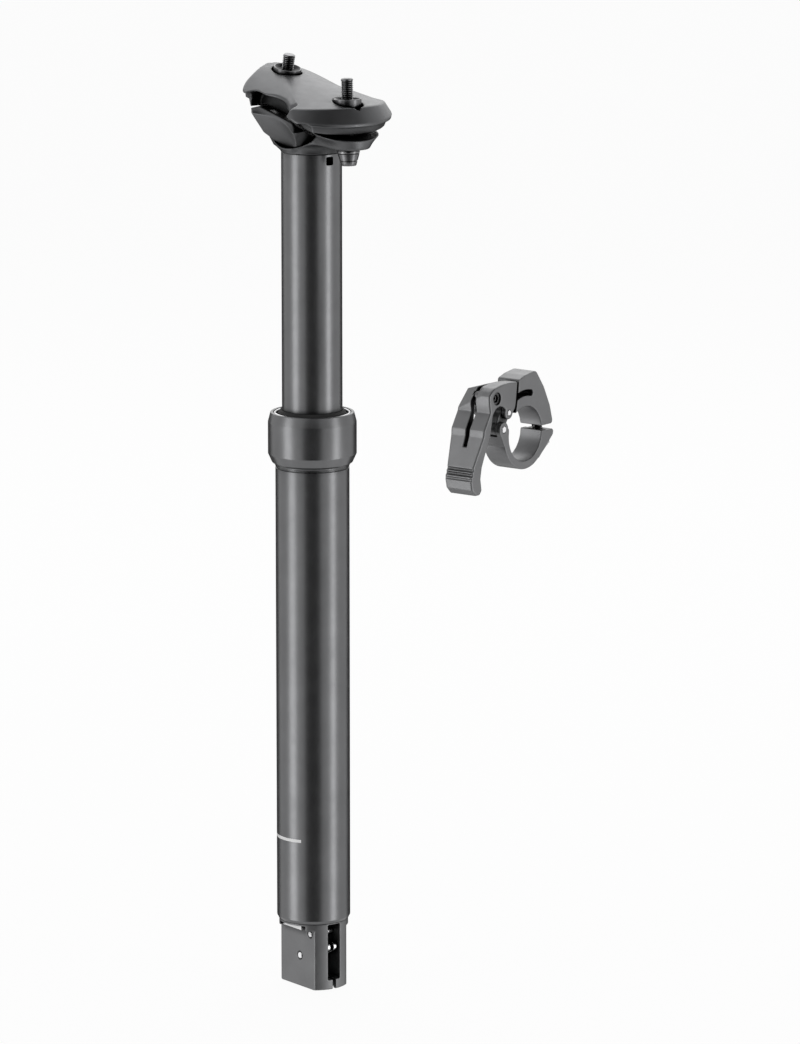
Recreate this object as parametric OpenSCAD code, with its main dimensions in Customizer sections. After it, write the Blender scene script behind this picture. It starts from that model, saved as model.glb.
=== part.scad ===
// Dropper seatpost with a gas spring inside, a two-bolt saddle clamp and a handlebar thumb lever.
// X points forward on the bicycle, Y to its left and Z up the post. The origin is on the post's
// axis at the underside of the collar, where the bicycle's frame ends.

/* [Tubes] */
// Outside diameter of the outer tube, which is the seat tube size
outer_tube_d = 30.9; // [30.4:0.1:31.6]
// Wall of the outer tube
outer_tube_wall = 1.6; // [1.5:0.05:1.7]
// Length of the outer tube below the collar
outer_tube_length = 194.5; // [193:0.5:202]
// Height of the chamfer at the foot of the outer tube
foot_chamfer = 1.4; // [1:0.1:3]
// Outside diameter of the inner tube
inner_tube_d = 25.2; // [25:0.1:25.4]
// Wall of the inner tube
inner_tube_wall = 1.7; // [1.5:0.05:1.8]
// Height of the inner tube's top end, with the post extended
inner_tube_top = 131.3; // [131:0.1:133]
// Length of inner tube kept below the collar's underside, with the post extended
overlap = 84; // [82:1:85]
// Width and height of the window near the inner tube's top
window_size = 3.6; // [2:0.1:4.5]

/* [Collar] */
// Outside diameter of the collar
collar_d = 37; // [36.5:0.1:39]
// Height of the collar
collar_height = 22.4; // [22:0.1:23]
// Height of the bevel at the collar's foot
collar_bevel = 4.9; // [3:0.1:7]
// Height of the shoulder at the collar's top
collar_shoulder = 4.2; // [2:0.1:5]
// Thickness of the wire ring over the wiper
clip_wire = 1.1; // [0.8:0.1:1.3]

/* [Tail] */
// Diameter of the tail below the outer tube
tail_d = 29.1; // [28.8:0.1:29.4]
// Length of the tail below the outer tube
tail_length = 28.8; // [28:0.1:31]
// Distance across the two flats of the tail
tail_flats = 16.8; // [16.2:0.1:17.4]
// Height of the full round shoulder above the flats
tail_shoulder = 3; // [2.8:0.1:3.4]
// Width of the front window of the tail
tail_window = 6.2; // [6:0.1:7]
// Height of the front window of the tail
tail_window_height = 24; // [23:0.1:24.5]
// Width of the cable slit below the window
cable_slit = 1.5; // [1.2:0.1:2]
// Diameter of the pin that the rocker turns on
lever_pin_d = 2.8; // [2.4:0.1:3]
// Distance of that pin in front of the post's axis
lever_pin_x = 1.3; // [1:0.1:1.6]
// Depth of that pin below the outer tube
lever_pin_drop = 15.5; // [15.2:0.1:15.8]
// Diameter of the second pin through the tail
cross_pin_d = 2.6; // [2:0.1:2.8]

/* [Gas spring] */
// Outside diameter of the gas cylinder
cylinder_d = 19.6; // [19:0.1:20]
// Wall of the gas cylinder
cylinder_wall = 1.6; // [1.2:0.1:1.8]
// Diameter of the piston rod
rod_d = 8; // [7:0.1:9]
// Diameter of the valve pin
valve_pin_d = 3; // [2.6:0.1:3.2]
// Diameter of the valve pin's button
valve_button_d = 5.4; // [5:0.1:5.6]

/* [Saddle clamp] */
// Height of the cradle's lowest point above the inner tube's top
seat_rise = 2.7; // [2.5:0.1:3.7]
// Nose-down angle of the clamp as it stands
tilt = 12.4; // [12:0.1:13]
// Radius of the round seat under the cradle
seat_r = 25; // [24.8:0.1:25.2]
// Distance between the two bolts
bolt_spacing = 42.2; // [41.8:0.1:42.6]
// Distance of the bolts' middle in front of the tilt axis
bolt_offset = 4; // [3.7:0.1:4.2]
// Backward lean of the front bolt from the post's axis
front_bolt_lean = 2; // [1:0.5:3]
// Diameter of the bolts
bolt_d = 5; // [4.8:0.1:5]
// Length of bolt above the front nut
front_bolt_above = 9.6; // [7:0.1:10]
// Length of bolt above the rear nut
rear_bolt_above = 6.8; // [5:0.1:9]
// Diameter of the round-bottomed nuts
nut_d = 11.6; // [11.2:0.1:12]
// Diameter of the saddle rails
rail_d = 7; // [6.8:0.1:7.2]
// Distance between the saddle rails
rail_spacing = 44; // [43:0.5:45]
// Depth of the rails below the nuts
rail_depth = 10; // [9.8:0.1:10.4]
// Gap between the two jaws
jaw_gap = 1.6; // [1.2:0.1:2]
// Half width of the jaws
jaw_half_width = 24; // [23.8:0.1:24.4]
// Radius of the upper jaw's round front at its brim
visor_r = 29.6; // [29.2:0.1:29.8]

/* [Handlebar lever] */
// Place of the bar's axis, in front of the post
remote_x = 135; // [120:1:160]
// Height of the bar's axis
remote_z = 33; // [20:1:45]
// Turn of the handlebar lever about the upright
remote_turn = 105.5; // [95:0.5:115]
// Diameter of the handlebar
bar_d = 22.2; // [22:0.1:22.4]
// Width of the bar clamp along the bar
clamp_width = 10.6; // [10:0.1:11]
// Thickness of the strap
strap_thickness = 3.2; // [3:0.1:3.5]
// Width of the thumb lever along the bar
lever_width = 16.5; // [16:0.1:18]
// Width of the thumb lever at its tip
lever_tip_width = 13; // [12:0.1:15]
// Thickness of the thumb lever's cheeks
cheek = 2; // [1.8:0.1:2.2]
// Width of the slot down the thumb lever
lever_slot = 2.5; // [2:0.1:3]
// Diameter of the thumb lever's pivot pin
thumb_pin_d = 2.3; // [2:0.1:2.4]
// Diameter of the strap's hinge pin
strap_pin_d = 2.7; // [2.4:0.1:2.8]
// Diameter of the strap's bolt
strap_bolt_d = 4; // [3.6:0.1:4]

/* [Clearances] */
// Radial gap of a running fit
running = 0.08; // [0.06:0.01:0.09]
// Gap between pieces that are fixed together
seated = 0.04; // [0.03:0.01:0.05]
// Gap between faces that move past each other
moving = 0.3; // [0.25:0.05:0.35]

/* [Hidden] */
$fn = 96;
far = 200;

// Radii and heights of the tubes and the collar
outer_r = outer_tube_d / 2;
outer_bore = outer_r - outer_tube_wall;
inner_r = inner_tube_d / 2;
inner_bore = inner_r - inner_tube_wall;
outer_foot = -outer_tube_length;
inner_foot = -overlap;
collar_r = collar_d / 2;
collar_step = 13.2;
collar_flange = 1.8;
thread_r = outer_r - 0.5;
cup_floor = collar_step + collar_flange;
bushing_length = 18;
cup_r = collar_r - 2.3;
lip_r = inner_r + running;

// Heights and places in the tail
tail_r = tail_d / 2;
tail_foot = outer_foot - tail_length;
window_top = outer_foot - 0.6;
window_foot = window_top - tail_window_height;
window_back = -6;
spigot_length = 9;
socket_floor = outer_foot + 5.6;
lever_pin_z = outer_foot - lever_pin_drop;
cross_pin_x = 8.5;
cross_pin_z = outer_foot - tail_shoulder - cross_pin_d / 2 - 0.6;
fork_reach = 10;
fork_rise = 4.5;
fork_r = 1.75;
prong = 1.6;
prong_gap = 1.7;
nose_reach = 3.7;
nose_rise = 2.6;
nose_r = 2.1;
ferrule_r = 2.3;
key_slot_back = -9;
key_slot_front = 6.5;
key_slot_height = 2;
key_gap = 2.5;

// Heights in the gas spring
cylinder_r = cylinder_d / 2;
cylinder_bore = cylinder_r - cylinder_wall;
cylinder_top = 14;
foot_height = 8;
gland_height = 13;
gland_cap = 1.2;
rod_r = rod_d / 2;
piston_z = -72;
piston_height = 10;
ring_wire = 0.8;
piston_nut_height = 5;
valve_r = valve_pin_d / 2;
button_z = lever_pin_z + nose_rise + nose_r + moving;
button_height = 2;
valve_top = socket_floor + 7;

// Guide keys between the tubes
key_r = 1.2;
key_circle = 13.2;
key_foot = -62;
key_length = 14;
key_angles = [90, 210, 330];

// Places in the saddle clamp
tilt_axis_z = inner_tube_top + seat_rise + seat_r;
front_at = bolt_offset + bolt_spacing / 2;
rear_at = bolt_offset - bolt_spacing / 2;
bolt_r = bolt_d / 2;
nut_r = nut_d / 2;
nut_lift = 0.7;
nut_bore = bolt_r + 0.4;
jaw_split_up = -rail_depth + jaw_gap / 2;
jaw_split_down = -rail_depth - jaw_gap / 2;
rail_y = rail_spacing / 2;
front_nut_x = front_at * cos(tilt) + nut_lift * sin(tilt);
front_nut_z = tilt_axis_z - front_at * sin(tilt) + nut_lift * cos(tilt);
rear_nut_x = rear_at * cos(tilt) + nut_lift * sin(tilt);
rear_nut_z = tilt_axis_z - rear_at * sin(tilt) + nut_lift * cos(tilt);
head_spigot = 13.8;
neck_r = 14.3;
front_ear_z = inner_tube_top + 4.7;
front_ear_x = front_nut_x + (front_nut_z - front_ear_z) * tan(front_bolt_lean) + 1;
front_seat = (front_nut_z - front_ear_z) / cos(front_bolt_lean) + 0.2;
bowl_foot_r = 7;
bowl_top_r = 18.6;
bowl_height = 8;
visor_foot = jaw_split_up - 1;
bowl_rim = visor_foot - 1.6;
waist_r = 14;
waist_at = 4;
waist_y = jaw_half_width + 7.5;
ear_r = 8.6;
rear_ear_depth = seat_r - 2.6;
rear_ear_x = rear_nut_x - rear_ear_depth * sin(tilt);
rear_ear_top = inner_tube_top + 17.8;
head_rear = rear_ear_x - ear_r - 0.8;
washer_gap = 0.25;
washer_height = 1.1;
washer_r = 4.6;
head_height = 5.2;
head_top_r = 4.6;
head_foot_r = 3.05;
socket_r = 2.1;
bolt_hole_r = bolt_r + 0.6;
slot_r = bolt_r + 0.7;

// Places in the handlebar lever, across the bar and up from its axis
bar_r = bar_d / 2;
clamp_half = clamp_width / 2;
strap_r = bar_r + strap_thickness;
lever_near = -clamp_half;
lever_far = lever_near + lever_width;
lever_middle = (lever_near + lever_far) / 2;
knuckle_near = lever_near + cheek + moving;
knuckle_far = lever_far - cheek - moving;
strap_pin_at = [-14.4, 3.7];
strap_eye_r = 2.9;
strap_knuckle = 3;
thumb_pin_at = [-11, 10];
thumb_eye_r = 2.7;
barrel_at = [-19.1, 16.7];
barrel_r = 2.5;
bolt_at = [15, 0.7];
bolt_turn = -20;
bolt_seat = -4.6;
bolt_reach = 9;
strap_head_r = 3.5;
strap_head_height = 4;

// A tube about the post's axis between two heights
module tube(radius, bore, foot, top) {
    rotate_extrude() translate([bore, foot]) square([radius - bore, top - foot]);
}

// A plain rod about the post's axis between two heights
module rod(radius, foot, top) {
    translate([0, 0, foot]) cylinder(r = radius, h = top - foot);
}

// A cylinder that lies across the post, along Y
module across(radius, half_length, x, z) {
    translate([x, 0, z]) rotate([90, 0, 0]) cylinder(r = radius, h = 2 * half_length, center = true);
}

// A side outline in X and Z, as thick along Y as given
module side_plate(y_from, y_to) {
    translate([0, y_to, 0]) rotate([90, 0, 0]) linear_extrude(y_to - y_from) children();
}

// Places children on the tilted clamp, with the tilt axis at the origin
module on_clamp() {
    translate([0, 0, tilt_axis_z]) rotate([0, tilt, 0]) children();
}

// Places children on the front or the rear bolt, with the nut's centre at the origin
module on_front_bolt() {
    translate([front_nut_x, 0, front_nut_z]) rotate([0, -front_bolt_lean, 0]) children();
}
module on_rear_bolt() {
    translate([rear_nut_x, 0, rear_nut_z]) rotate([0, tilt, 0]) children();
}

// Places children on the bar, with the bar along Y
module on_bar() {
    translate([remote_x, 0, remote_z]) rotate([0, 0, remote_turn]) children();
}

// A cylinder along the bar between two places across the clamp
module along_bar(radius, at, y_from, y_to) {
    translate([at[0], y_to, at[1]]) rotate([90, 0, 0]) cylinder(r = radius, h = y_to - y_from);
}

// A long hole made of two drilled ends and a slot between them
module long_hole(radius, from, to, foot, top) {
    for (x = [from, to]) translate([x, 0, foot]) cylinder(r = radius, h = top - foot);
    translate([from, -radius, foot]) cube([to - from, 2 * radius, top - foot]);
}

// The three guide keys, with a gap all round for the seats and grooves that take them
module keys(gap, foot, top) {
    for (turn = key_angles) rotate([0, 0, turn])
        translate([key_circle, 0, foot]) cylinder(r = key_r + gap, h = top - foot);
}

module outer_tube() {
    color("#2b2c2e") difference() {
        rotate_extrude() polygon([
            [outer_bore, outer_foot], [tail_r + 0.2, outer_foot], [outer_r, outer_foot + foot_chamfer],
            [outer_r, -seated], [thread_r, -seated],
            [thread_r, collar_step - 0.2], [outer_bore, collar_step - 0.2]
        ]);
        keys(running * 2, outer_foot - 1, -14);
    }
}

module seal_collar() {
    socket_r = thread_r + seated;
    color("#303133") rotate_extrude() polygon([
        [socket_r, 0], [outer_r + 0.5, 0], [collar_r, collar_bevel],
        [collar_r, collar_height - collar_shoulder], [collar_r - 1.1, collar_height],
        [cup_r, collar_height], [cup_r, cup_floor], [inner_r + moving, cup_floor],
        [inner_r + moving, collar_step], [socket_r, collar_step]
    ]);
}

module wiper_seal() {
    seal_r = cup_r - seated;
    rim = collar_height - clip_wire - 0.2;
    color("#17181a") rotate_extrude() polygon([
        [lip_r + 0.7, cup_floor + seated], [seal_r, cup_floor + seated], [seal_r, rim],
        [lip_r + 2, rim], [lip_r + 0.8, collar_height + 0.8], [lip_r, collar_height + 0.8],
        [lip_r, collar_height - 0.8], [lip_r + 0.7, collar_height - 2]
    ]);
}

module wiper_clip() {
    wire_r = clip_wire / 2;
    color("#c9cbcd") rotate_extrude()
        translate([cup_r - wire_r - seated, collar_height - wire_r - 0.15]) circle(r = wire_r, $fn = 32);
}

module upper_bushing() {
    color("#6d5f45") tube(outer_bore - seated, lip_r, -12, collar_step - 0.3);
}

module actuator_housing() {
    color("#3a3b3d") difference() {
        union() {
            rod(tail_r, tail_foot, outer_foot - seated);
            rod(outer_bore - seated, outer_foot - 1, outer_foot + spigot_length);
        }
        for (side = [0, 180]) rotate([0, 0, side]) {
            translate([-far / 2, tail_flats / 2, tail_foot - 1])
                cube([far, far, tail_length - tail_shoulder + 1]);
            translate([key_slot_back, tail_flats / 2, outer_foot - tail_shoulder - 0.5])
                cube([key_slot_front - key_slot_back, far, key_slot_height + 0.5]);
        }
        translate([window_back, -tail_window / 2, window_foot])
            cube([far, tail_window, tail_window_height]);
        translate([0, -cable_slit / 2, tail_foot - 1])
            cube([far, cable_slit, window_foot - tail_foot + 2]);
        translate([cross_pin_x + 2, 0, tail_foot - 1]) cylinder(r = ferrule_r, h = 3);
        across(lever_pin_d / 2 + seated, far, lever_pin_x, lever_pin_z);
        across(cross_pin_d / 2 + seated, far, cross_pin_x, cross_pin_z);
        rod(valve_r + running, window_top - 1, far);
        rod(cylinder_r + seated, socket_floor, far);
    }
}

module housing_keys() {
    depth = 3;
    color("#c4c6c8") for (side = [0, 180]) rotate([0, 0, side])
        translate([key_slot_back + key_gap, tail_flats / 2 + seated, outer_foot - tail_shoulder + seated])
            cube([key_slot_front - key_slot_back - key_gap - seated, depth, key_slot_height - 2 * seated]);
}

module lever_pin() {
    color("#d8dadc") across(lever_pin_d / 2, tail_flats / 2, lever_pin_x, lever_pin_z);
}

module cross_pin() {
    color("#d8dadc") across(cross_pin_d / 2, tail_flats / 2, cross_pin_x, cross_pin_z);
}

module gas_cylinder() {
    color("#8d9094") tube(cylinder_r, cylinder_bore, socket_floor + seated, cylinder_top);
}

module cylinder_foot() {
    color("#77797c") tube(
        cylinder_bore - seated, valve_r + running, socket_floor + seated, socket_floor + foot_height
    );
}

module rod_gland() {
    color("#77797c") union() {
        tube(cylinder_bore - seated, rod_r + running, cylinder_top - gland_height, cylinder_top + gland_cap);
        tube(cylinder_r, cylinder_bore - 1, cylinder_top + seated, cylinder_top + gland_cap);
    }
}

module inner_tube() {
    color("#1d1e20") difference() {
        tube(inner_r, inner_bore, inner_foot, inner_tube_top);
        translate([inner_bore - 3, -window_size / 2, inner_tube_top - 1 - window_size])
            cube([6, window_size, window_size]);
        keys(seated, key_foot - seated, key_foot + key_length + seated);
    }
}

// The head seen from the side: neck, rear ear, seat and the web to the front ear
module head_side() {
    web_top = front_ear_z + 11.4;
    polygon([
        [head_rear, rear_ear_top - 4.6], [head_rear + 3, rear_ear_top - 8.2],
        [rear_ear_x + 3.6, inner_tube_top + 5.7], [-neck_r, inner_tube_top + 2.1],
        [-inner_r, inner_tube_top + seated], [inner_r, inner_tube_top + seated], [neck_r, front_ear_z],
        [front_ear_x, front_ear_z], [front_ear_x, web_top],
        [-neck_r + 4, web_top], [-neck_r - 4, rear_ear_top], [head_rear, rear_ear_top]
    ]);
}

// The head seen from above: the round neck, the rear ear and the webs to both ears
module head_plan() {
    circle(r = neck_r);
    translate([rear_ear_x, 0]) circle(r = ear_r);
    polygon([
        [rear_ear_x, -ear_r], [-4, 0.7 - neck_r], [4, 0.7 - neck_r], [front_ear_x, -bowl_foot_r],
        [front_ear_x, bowl_foot_r], [4, neck_r - 0.7], [-4, neck_r - 0.7], [rear_ear_x, ear_r]
    ]);
}

// The front ear: a bowl that flares to both sides and is steep at the front
module front_bowl() {
    front_r = 18.5;
    intersection() {
        translate([front_ear_x, 0, front_ear_z]) cylinder(r1 = bowl_foot_r, r2 = bowl_top_r, h = bowl_height);
        translate([front_ear_x - front_r + bowl_foot_r, 0, front_ear_z])
            cylinder(r1 = front_r, r2 = front_r + 3.6, h = bowl_height);
    }
}

module seat_head() {
    color("#222325") difference() {
        union() {
            intersection() {
                side_plate(-far, far) head_side();
                translate([0, 0, inner_tube_top]) linear_extrude(far) head_plan();
            }
            front_bowl();
            rod(inner_bore - seated, inner_tube_top - head_spigot, inner_tube_top + 1);
        }
        across(seat_r + moving, far, 0, tilt_axis_z);
        on_clamp() translate([0, -far / 2, bowl_rim]) cube(far);
        on_rear_bolt() translate([0, 0, -rear_ear_depth - 10]) cylinder(r = washer_r + 0.8, h = 10);
        on_front_bolt() translate([0, 0, -30]) cylinder(r = bolt_hole_r, h = 30);
        on_rear_bolt() translate([0, 0, -30]) cylinder(r = bolt_hole_r, h = 30);
        rod(rod_r + seated, inner_tube_top - head_spigot - 1, inner_tube_top - 3);
        translate([inner_bore - 3, -window_size / 2, inner_tube_top - 1 - window_size])
            cube([6, window_size, window_size]);
    }
}

module piston_rod() {
    color("#d0d2d4") rod(rod_r, piston_z - piston_nut_height - 1, inner_tube_top - 3 - seated);
}

module piston() {
    color("#9a7b3f") difference() {
        tube(cylinder_bore - running, rod_r + seated, piston_z, piston_z + piston_height);
        rotate_extrude() translate([cylinder_bore - ring_wire - running, piston_z + piston_height / 2])
            circle(r = ring_wire + seated, $fn = 32);
    }
}

module piston_ring() {
    color("#101112") rotate_extrude()
        translate([cylinder_bore - ring_wire - running, piston_z + piston_height / 2])
            circle(r = ring_wire, $fn = 32);
}

module piston_nut() {
    color("#b5b7ba") difference() {
        translate([0, 0, piston_z - piston_nut_height]) cylinder(r = rod_r + 2.6, h = piston_nut_height, $fn = 6);
        rod(rod_r + seated, piston_z - piston_nut_height - 1, piston_z + 1);
    }
}

module lower_bushing() {
    color("#6d5f45") tube(outer_bore - running, inner_r + seated, inner_foot + 1, inner_foot + 1 + bushing_length);
}

module guide_keys() {
    color("#b08d45") keys(0, key_foot, key_foot + key_length);
}

// A saddle bolt with its tapered socket head, drawn from the nut's centre
module saddle_bolt(above, seat) {
    head_top = -seat - washer_gap - 2 * washer_height - 2 * seated;
    difference() {
        union() {
            translate([0, 0, head_top - 1]) cylinder(r = bolt_r, h = above - head_top + 1);
            translate([0, 0, head_top - head_height]) cylinder(r1 = head_foot_r, r2 = head_top_r, h = head_height);
        }
        translate([0, 0, head_top - head_height - 1]) cylinder(r = socket_r, h = 4, $fn = 6);
    }
}

// Two stacked washers under an ear
module washers(seat) {
    for (step = [1, 2]) difference() {
        translate([0, 0, -seat - washer_gap - step * (washer_height + seated / 2) + seated / 2])
            cylinder(r = washer_r, h = washer_height);
        translate([0, 0, -seat - 4]) cylinder(r = bolt_r + seated, h = 6);
    }
}

module rear_bolt() {
    color("#6a6c6f") on_rear_bolt() saddle_bolt(rear_bolt_above, rear_ear_depth);
}

module rear_washers() {
    color("#6a6c6f") on_rear_bolt() washers(rear_ear_depth);
}

module front_bolt() {
    color("#6a6c6f") on_front_bolt() saddle_bolt(front_bolt_above, front_seat);
}

module front_washers() {
    color("#6a6c6f") on_front_bolt() washers(front_seat);
}

// The two rail grooves, along the tilted clamp
module rails(radius) {
    for (side = [-1, 1]) translate([-far / 2, side * rail_y, -rail_depth])
        rotate([0, 90, 0]) cylinder(r = radius, h = far);
}

// An outline across the clamp, in Y and Z, drawn out from back to front
module cross_section(back, front) {
    translate([back, 0, 0]) rotate([90, 0, 90]) linear_extrude(front - back) children();
}

// Mirrors the points of an outline to the other side, in turning order
function both_sides(points) = concat(
    points, [for (i = [len(points) - 1:-1:0]) [points[i][0], -points[i][1]]]
);

// The same for an outline across the clamp, mirrored in its first value
function both_flanks(points) = concat(
    points, [for (i = [len(points) - 1:-1:0]) [-points[i][0], points[i][1]]]
);

module lower_cradle() {
    rim_inside = rail_y - rail_d / 2 - 1.6;
    trough = -16.6;
    color("#2a2b2d") on_clamp() difference() {
        intersection() {
            across(seat_r, far, 0, 0);
            cross_section(-far, far) polygon(both_flanks([
                [0, -seat_r - 1], [11.6, -seat_r - 1], [12.6, -seat_r + 1.2], [15, -seat_r + 5.5],
                [rail_y + 0.5, jaw_split_down - 4.8], [jaw_half_width + 1.5, jaw_split_down - 1.8],
                [jaw_half_width + 1.5, jaw_split_down], [0, jaw_split_down]
            ]));
            translate([0, 0, -far / 2]) linear_extrude(far) polygon(both_sides([
                [-seat_r, 11.5], [-22.4, 14], [-14.4, 20], [-9.7, jaw_half_width], [15, jaw_half_width],
                [19.6, jaw_half_width - 2.6], [seat_r, 16]
            ]));
        }
        cross_section(-far, far) polygon(both_flanks([
            [rim_inside, 0], [rim_inside, jaw_split_down - 0.8], [8, trough], [0, trough]
        ]));
        for (side = [-1, 1])
            translate([waist_at - 1.5, side * (waist_y + 1.5), -far / 2]) cylinder(r = waist_r, h = far);
        rails(rail_d / 2);
        long_hole(slot_r, -far / 2, rear_at + 1, -far, far);
    }
}

// The upper jaw's broad round front, undercut below its brim, with a tongue to the rear
module upper_front() {
    middle = 8;
    top = 0.6;
    brim = jaw_split_up + 3.9;
    height = 20;
    intersection() {
        translate([middle, 0, 0]) rotate_extrude() polygon([
            [0, visor_foot], [visor_r - 2.4, visor_foot], [visor_r - 1.4, brim - 0.5], [visor_r, brim],
            [visor_r - 4.8, top - 0.5], [visor_r - 6, top + 0.7], [0, top + 0.7]
        ]);
        translate([0, 0, -height]) linear_extrude(2 * height) polygon(both_sides([
            [-13, 2.5], [-4.4, 6], [4.4, 11.5], [11.8, 15.8], [17.6, 19.2], [19, jaw_half_width + 0.5],
            [visor_r + middle, jaw_half_width + 0.5]
        ]));
        cross_section(-far, far) polygon(both_flanks([
            [0, visor_foot - 1], [far, visor_foot - 1], [far, -4.3], [jaw_half_width + 0.6, -3.3], [19, -1.7],
            [13, -0.4], [6, top], [0, top]
        ]));
    }
}

// The upper jaw's keel, which lies in the cradle's trough, and its cheeks behind the cradle's corners
module upper_keel() {
    inside = rail_y - rail_d / 2;
    intersection() {
        across(seat_r - 0.6, inside - 2.2, 0, 0);
        translate([-far / 2, -far / 2, jaw_split_down - 0.5]) cube([far, far, jaw_split_up - jaw_split_down + 1]);
    }
    for (side = [1, -1]) scale([1, side, 1]) translate([0, 0, jaw_split_down - 1.6])
        linear_extrude(jaw_split_up - jaw_split_down + 2)
            polygon([[-22, 14.8], [-20.2, inside - 0.1], [-17.2, inside - 0.1]]);
}

// The upper jaw's two rear lobes and the round seat of the rear nut between them
module upper_rear() {
    lobe_r = 9;
    undercut = 2;
    height = 11;
    crown = 0.5;
    intersection() {
        union() {
            for (side = [-1, 1]) translate([-11, side * (jaw_half_width - lobe_r), jaw_split_up]) {
                cylinder(r1 = lobe_r - undercut, r2 = lobe_r, h = 4);
                translate([0, 0, 4]) cylinder(r = lobe_r, h = height - 4);
            }
            translate([rear_at, 0, jaw_split_up]) cylinder(r = lobe_r + 2.2, h = height);
            translate([0, 0, jaw_split_up]) linear_extrude(height) polygon(both_sides([
                [rear_at - 8, 7], [-18.4, jaw_half_width - 6.4], [-11, jaw_half_width - 4], [14, 17]
            ]));
        }
        cross_section(-far, far) polygon(both_flanks([
            [0, jaw_split_up - 1], [far, jaw_split_up - 1], [far, -7.2], [jaw_half_width + 0.2, -6.8], [19, -4],
            [13, -1.6], [6, crown], [0, crown]
        ]));
    }
}

module upper_clamp() {
    well_r = nut_r + 0.3;
    well_floor = -2;
    color("#3a3b3d") on_clamp() difference() {
        union() {
            upper_front();
            upper_rear();
            upper_keel();
        }
        for (side = [-1, 1]) {
            translate([waist_at, side * waist_y, -far / 2]) cylinder(r = waist_r, h = far);
            translate([3, side * 17, -11.6]) rotate([90, 0, 0]) cylinder(r = 7, h = 12, center = true);
        }
        rails(rail_d / 2);
        for (at = [rear_at, front_at]) translate([at, 0, nut_lift]) sphere(r = nut_r + 0.2);
        translate([front_at, 0, 0]) long_hole(well_r, 0, 1.2, well_floor, far);
        translate([rear_at, 0, 0]) long_hole(well_r, -0.8, 0.4, well_floor, far);
        translate([front_at, 0, 0]) long_hole(slot_r, 0, 3.6, -far, well_floor);
        translate([rear_at, 0, 0]) long_hole(slot_r, -2.2, 0.8, -far, well_floor);
    }
}

// A nut with a round bottom, drawn from the centre of its round seat
module round_nut() {
    difference() {
        intersection() {
            union() {
                sphere(r = nut_r);
                cylinder(r = nut_r, h = 0.9);
            }
            translate([-far / 2, -far / 2, -4]) cube([far, far, 4.9]);
        }
        translate([0, 0, -10]) cylinder(r = nut_bore, h = 20);
    }
}

module front_nut() {
    color("#7d7f82") on_front_bolt() round_nut();
}

module rear_nut() {
    color("#7d7f82") on_rear_bolt() round_nut();
}

// The rocker's hub, fork arm and nose
module rocker(half) {
    hub_r = 3.2;
    across(hub_r, half, 0, 0);
    across(fork_r, half, fork_reach, fork_rise);
    across(nose_r, half, -nose_reach, nose_rise);
    side_plate(-half, half)
        polygon([[0, 3], [fork_reach - 0.6, fork_rise + 1.5], [fork_reach + 0.7, fork_rise - 1.5], [1.4, -2.7]]);
    side_plate(-half, half)
        polygon([[0, 3], [-nose_reach, nose_rise + 2], [-nose_reach - 1.2, nose_rise - 1.6], [-1.4, -2.7]]);
}

module actuator_lever() {
    half = prong + prong_gap / 2;
    color("#c7c9cb") translate([lever_pin_x, 0, lever_pin_z]) difference() {
        rocker(half);
        across(lever_pin_d / 2 + running, far, 0, 0);
        translate([4.6, -prong_gap / 2, -far / 2]) cube([far, prong_gap, far]);
    }
}

module valve_pin() {
    color("#d0d2d4") union() {
        rod(valve_button_d / 2, button_z, button_z + button_height);
        rod(valve_r, button_z + 1, valve_top);
    }
}

// The upper half of the bar clamp seen along the bar
module clamp_side() {
    polygon([
        [0, 1.6], [18.1, 1.6], [18.6, 3], [16.8, 9.2], [12.7, 17.2], [7.6, 24], [6.4, 24.5],
        [0, 23.6], [-4.4, 22.2], [-5.4, 13.8], [-6.6, 8.6]
    ]);
}

// The curved window over the bar, a ring cut by a wedge with a drilled end
module arc_window() {
    inside_r = bar_r + 4.1;
    window = 2.5;
    end_angle = 77;
    intersection() {
        difference() {
            along_bar(inside_r + window, [0, 0], -far / 2, far / 2);
            along_bar(inside_r, [0, 0], -far, far);
        }
        side_plate(-far, far) polygon([[0, 0], [far * cos(end_angle), far * sin(end_angle)], [-far, far]]);
    }
    along_bar(
        window / 2 + 0.1, [cos(end_angle), sin(end_angle)] * (inside_r + window / 2), -far, far
    );
}

// A ring sector round the bar between two angles
module sector(radius, from, to) {
    intersection() {
        difference() {
            circle(r = radius);
            circle(r = bar_r);
        }
        polygon(concat([[0, 0]], [
            for (step = [0:4])
                let (angle = from + (to - from) * step / 4) [40 * cos(angle), 40 * sin(angle)]
        ]));
    }
}

// The knuckle that carries the pins behind the bar, down to a given end
module knuckle(y_from, y_to, end) {
    side_plate(y_from, y_to) polygon(concat(
        [[-3, bar_r - 1], [-4, bar_r + 3.3], [-6.4, bar_r + 4.8], [-11.3, 13], [-14.9, 8.6]], end
    ));
}

module bar_clamp() {
    color("#55575a") on_bar() difference() {
        union() {
            difference() {
                side_plate(-clamp_half, clamp_half) clamp_side();
                arc_window();
            }
            knuckle(knuckle_near, knuckle_far, [[-9.4, 5.4]]);
            along_bar(thumb_eye_r, thumb_pin_at, knuckle_near, knuckle_far);
            knuckle(-strap_knuckle, strap_knuckle, [[-15.9, 6.4], [-10, 4.1]]);
            along_bar(strap_eye_r, strap_pin_at, -strap_knuckle, strap_knuckle);
        }
        along_bar(bar_r, [0, 0], -far, far);
        along_bar(bar_r + 0.8, [0, 0], clamp_half, far);
        along_bar(thumb_pin_d / 2 + seated, thumb_pin_at, -far, far);
        along_bar(strap_pin_d / 2 + seated, strap_pin_at, -far, far);
        translate([bolt_at[0], 0, bolt_at[1]]) rotate([0, bolt_turn, 0])
            cylinder(r = strap_bolt_d / 2 + seated, h = bolt_reach + 0.6);
    }
}

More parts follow.
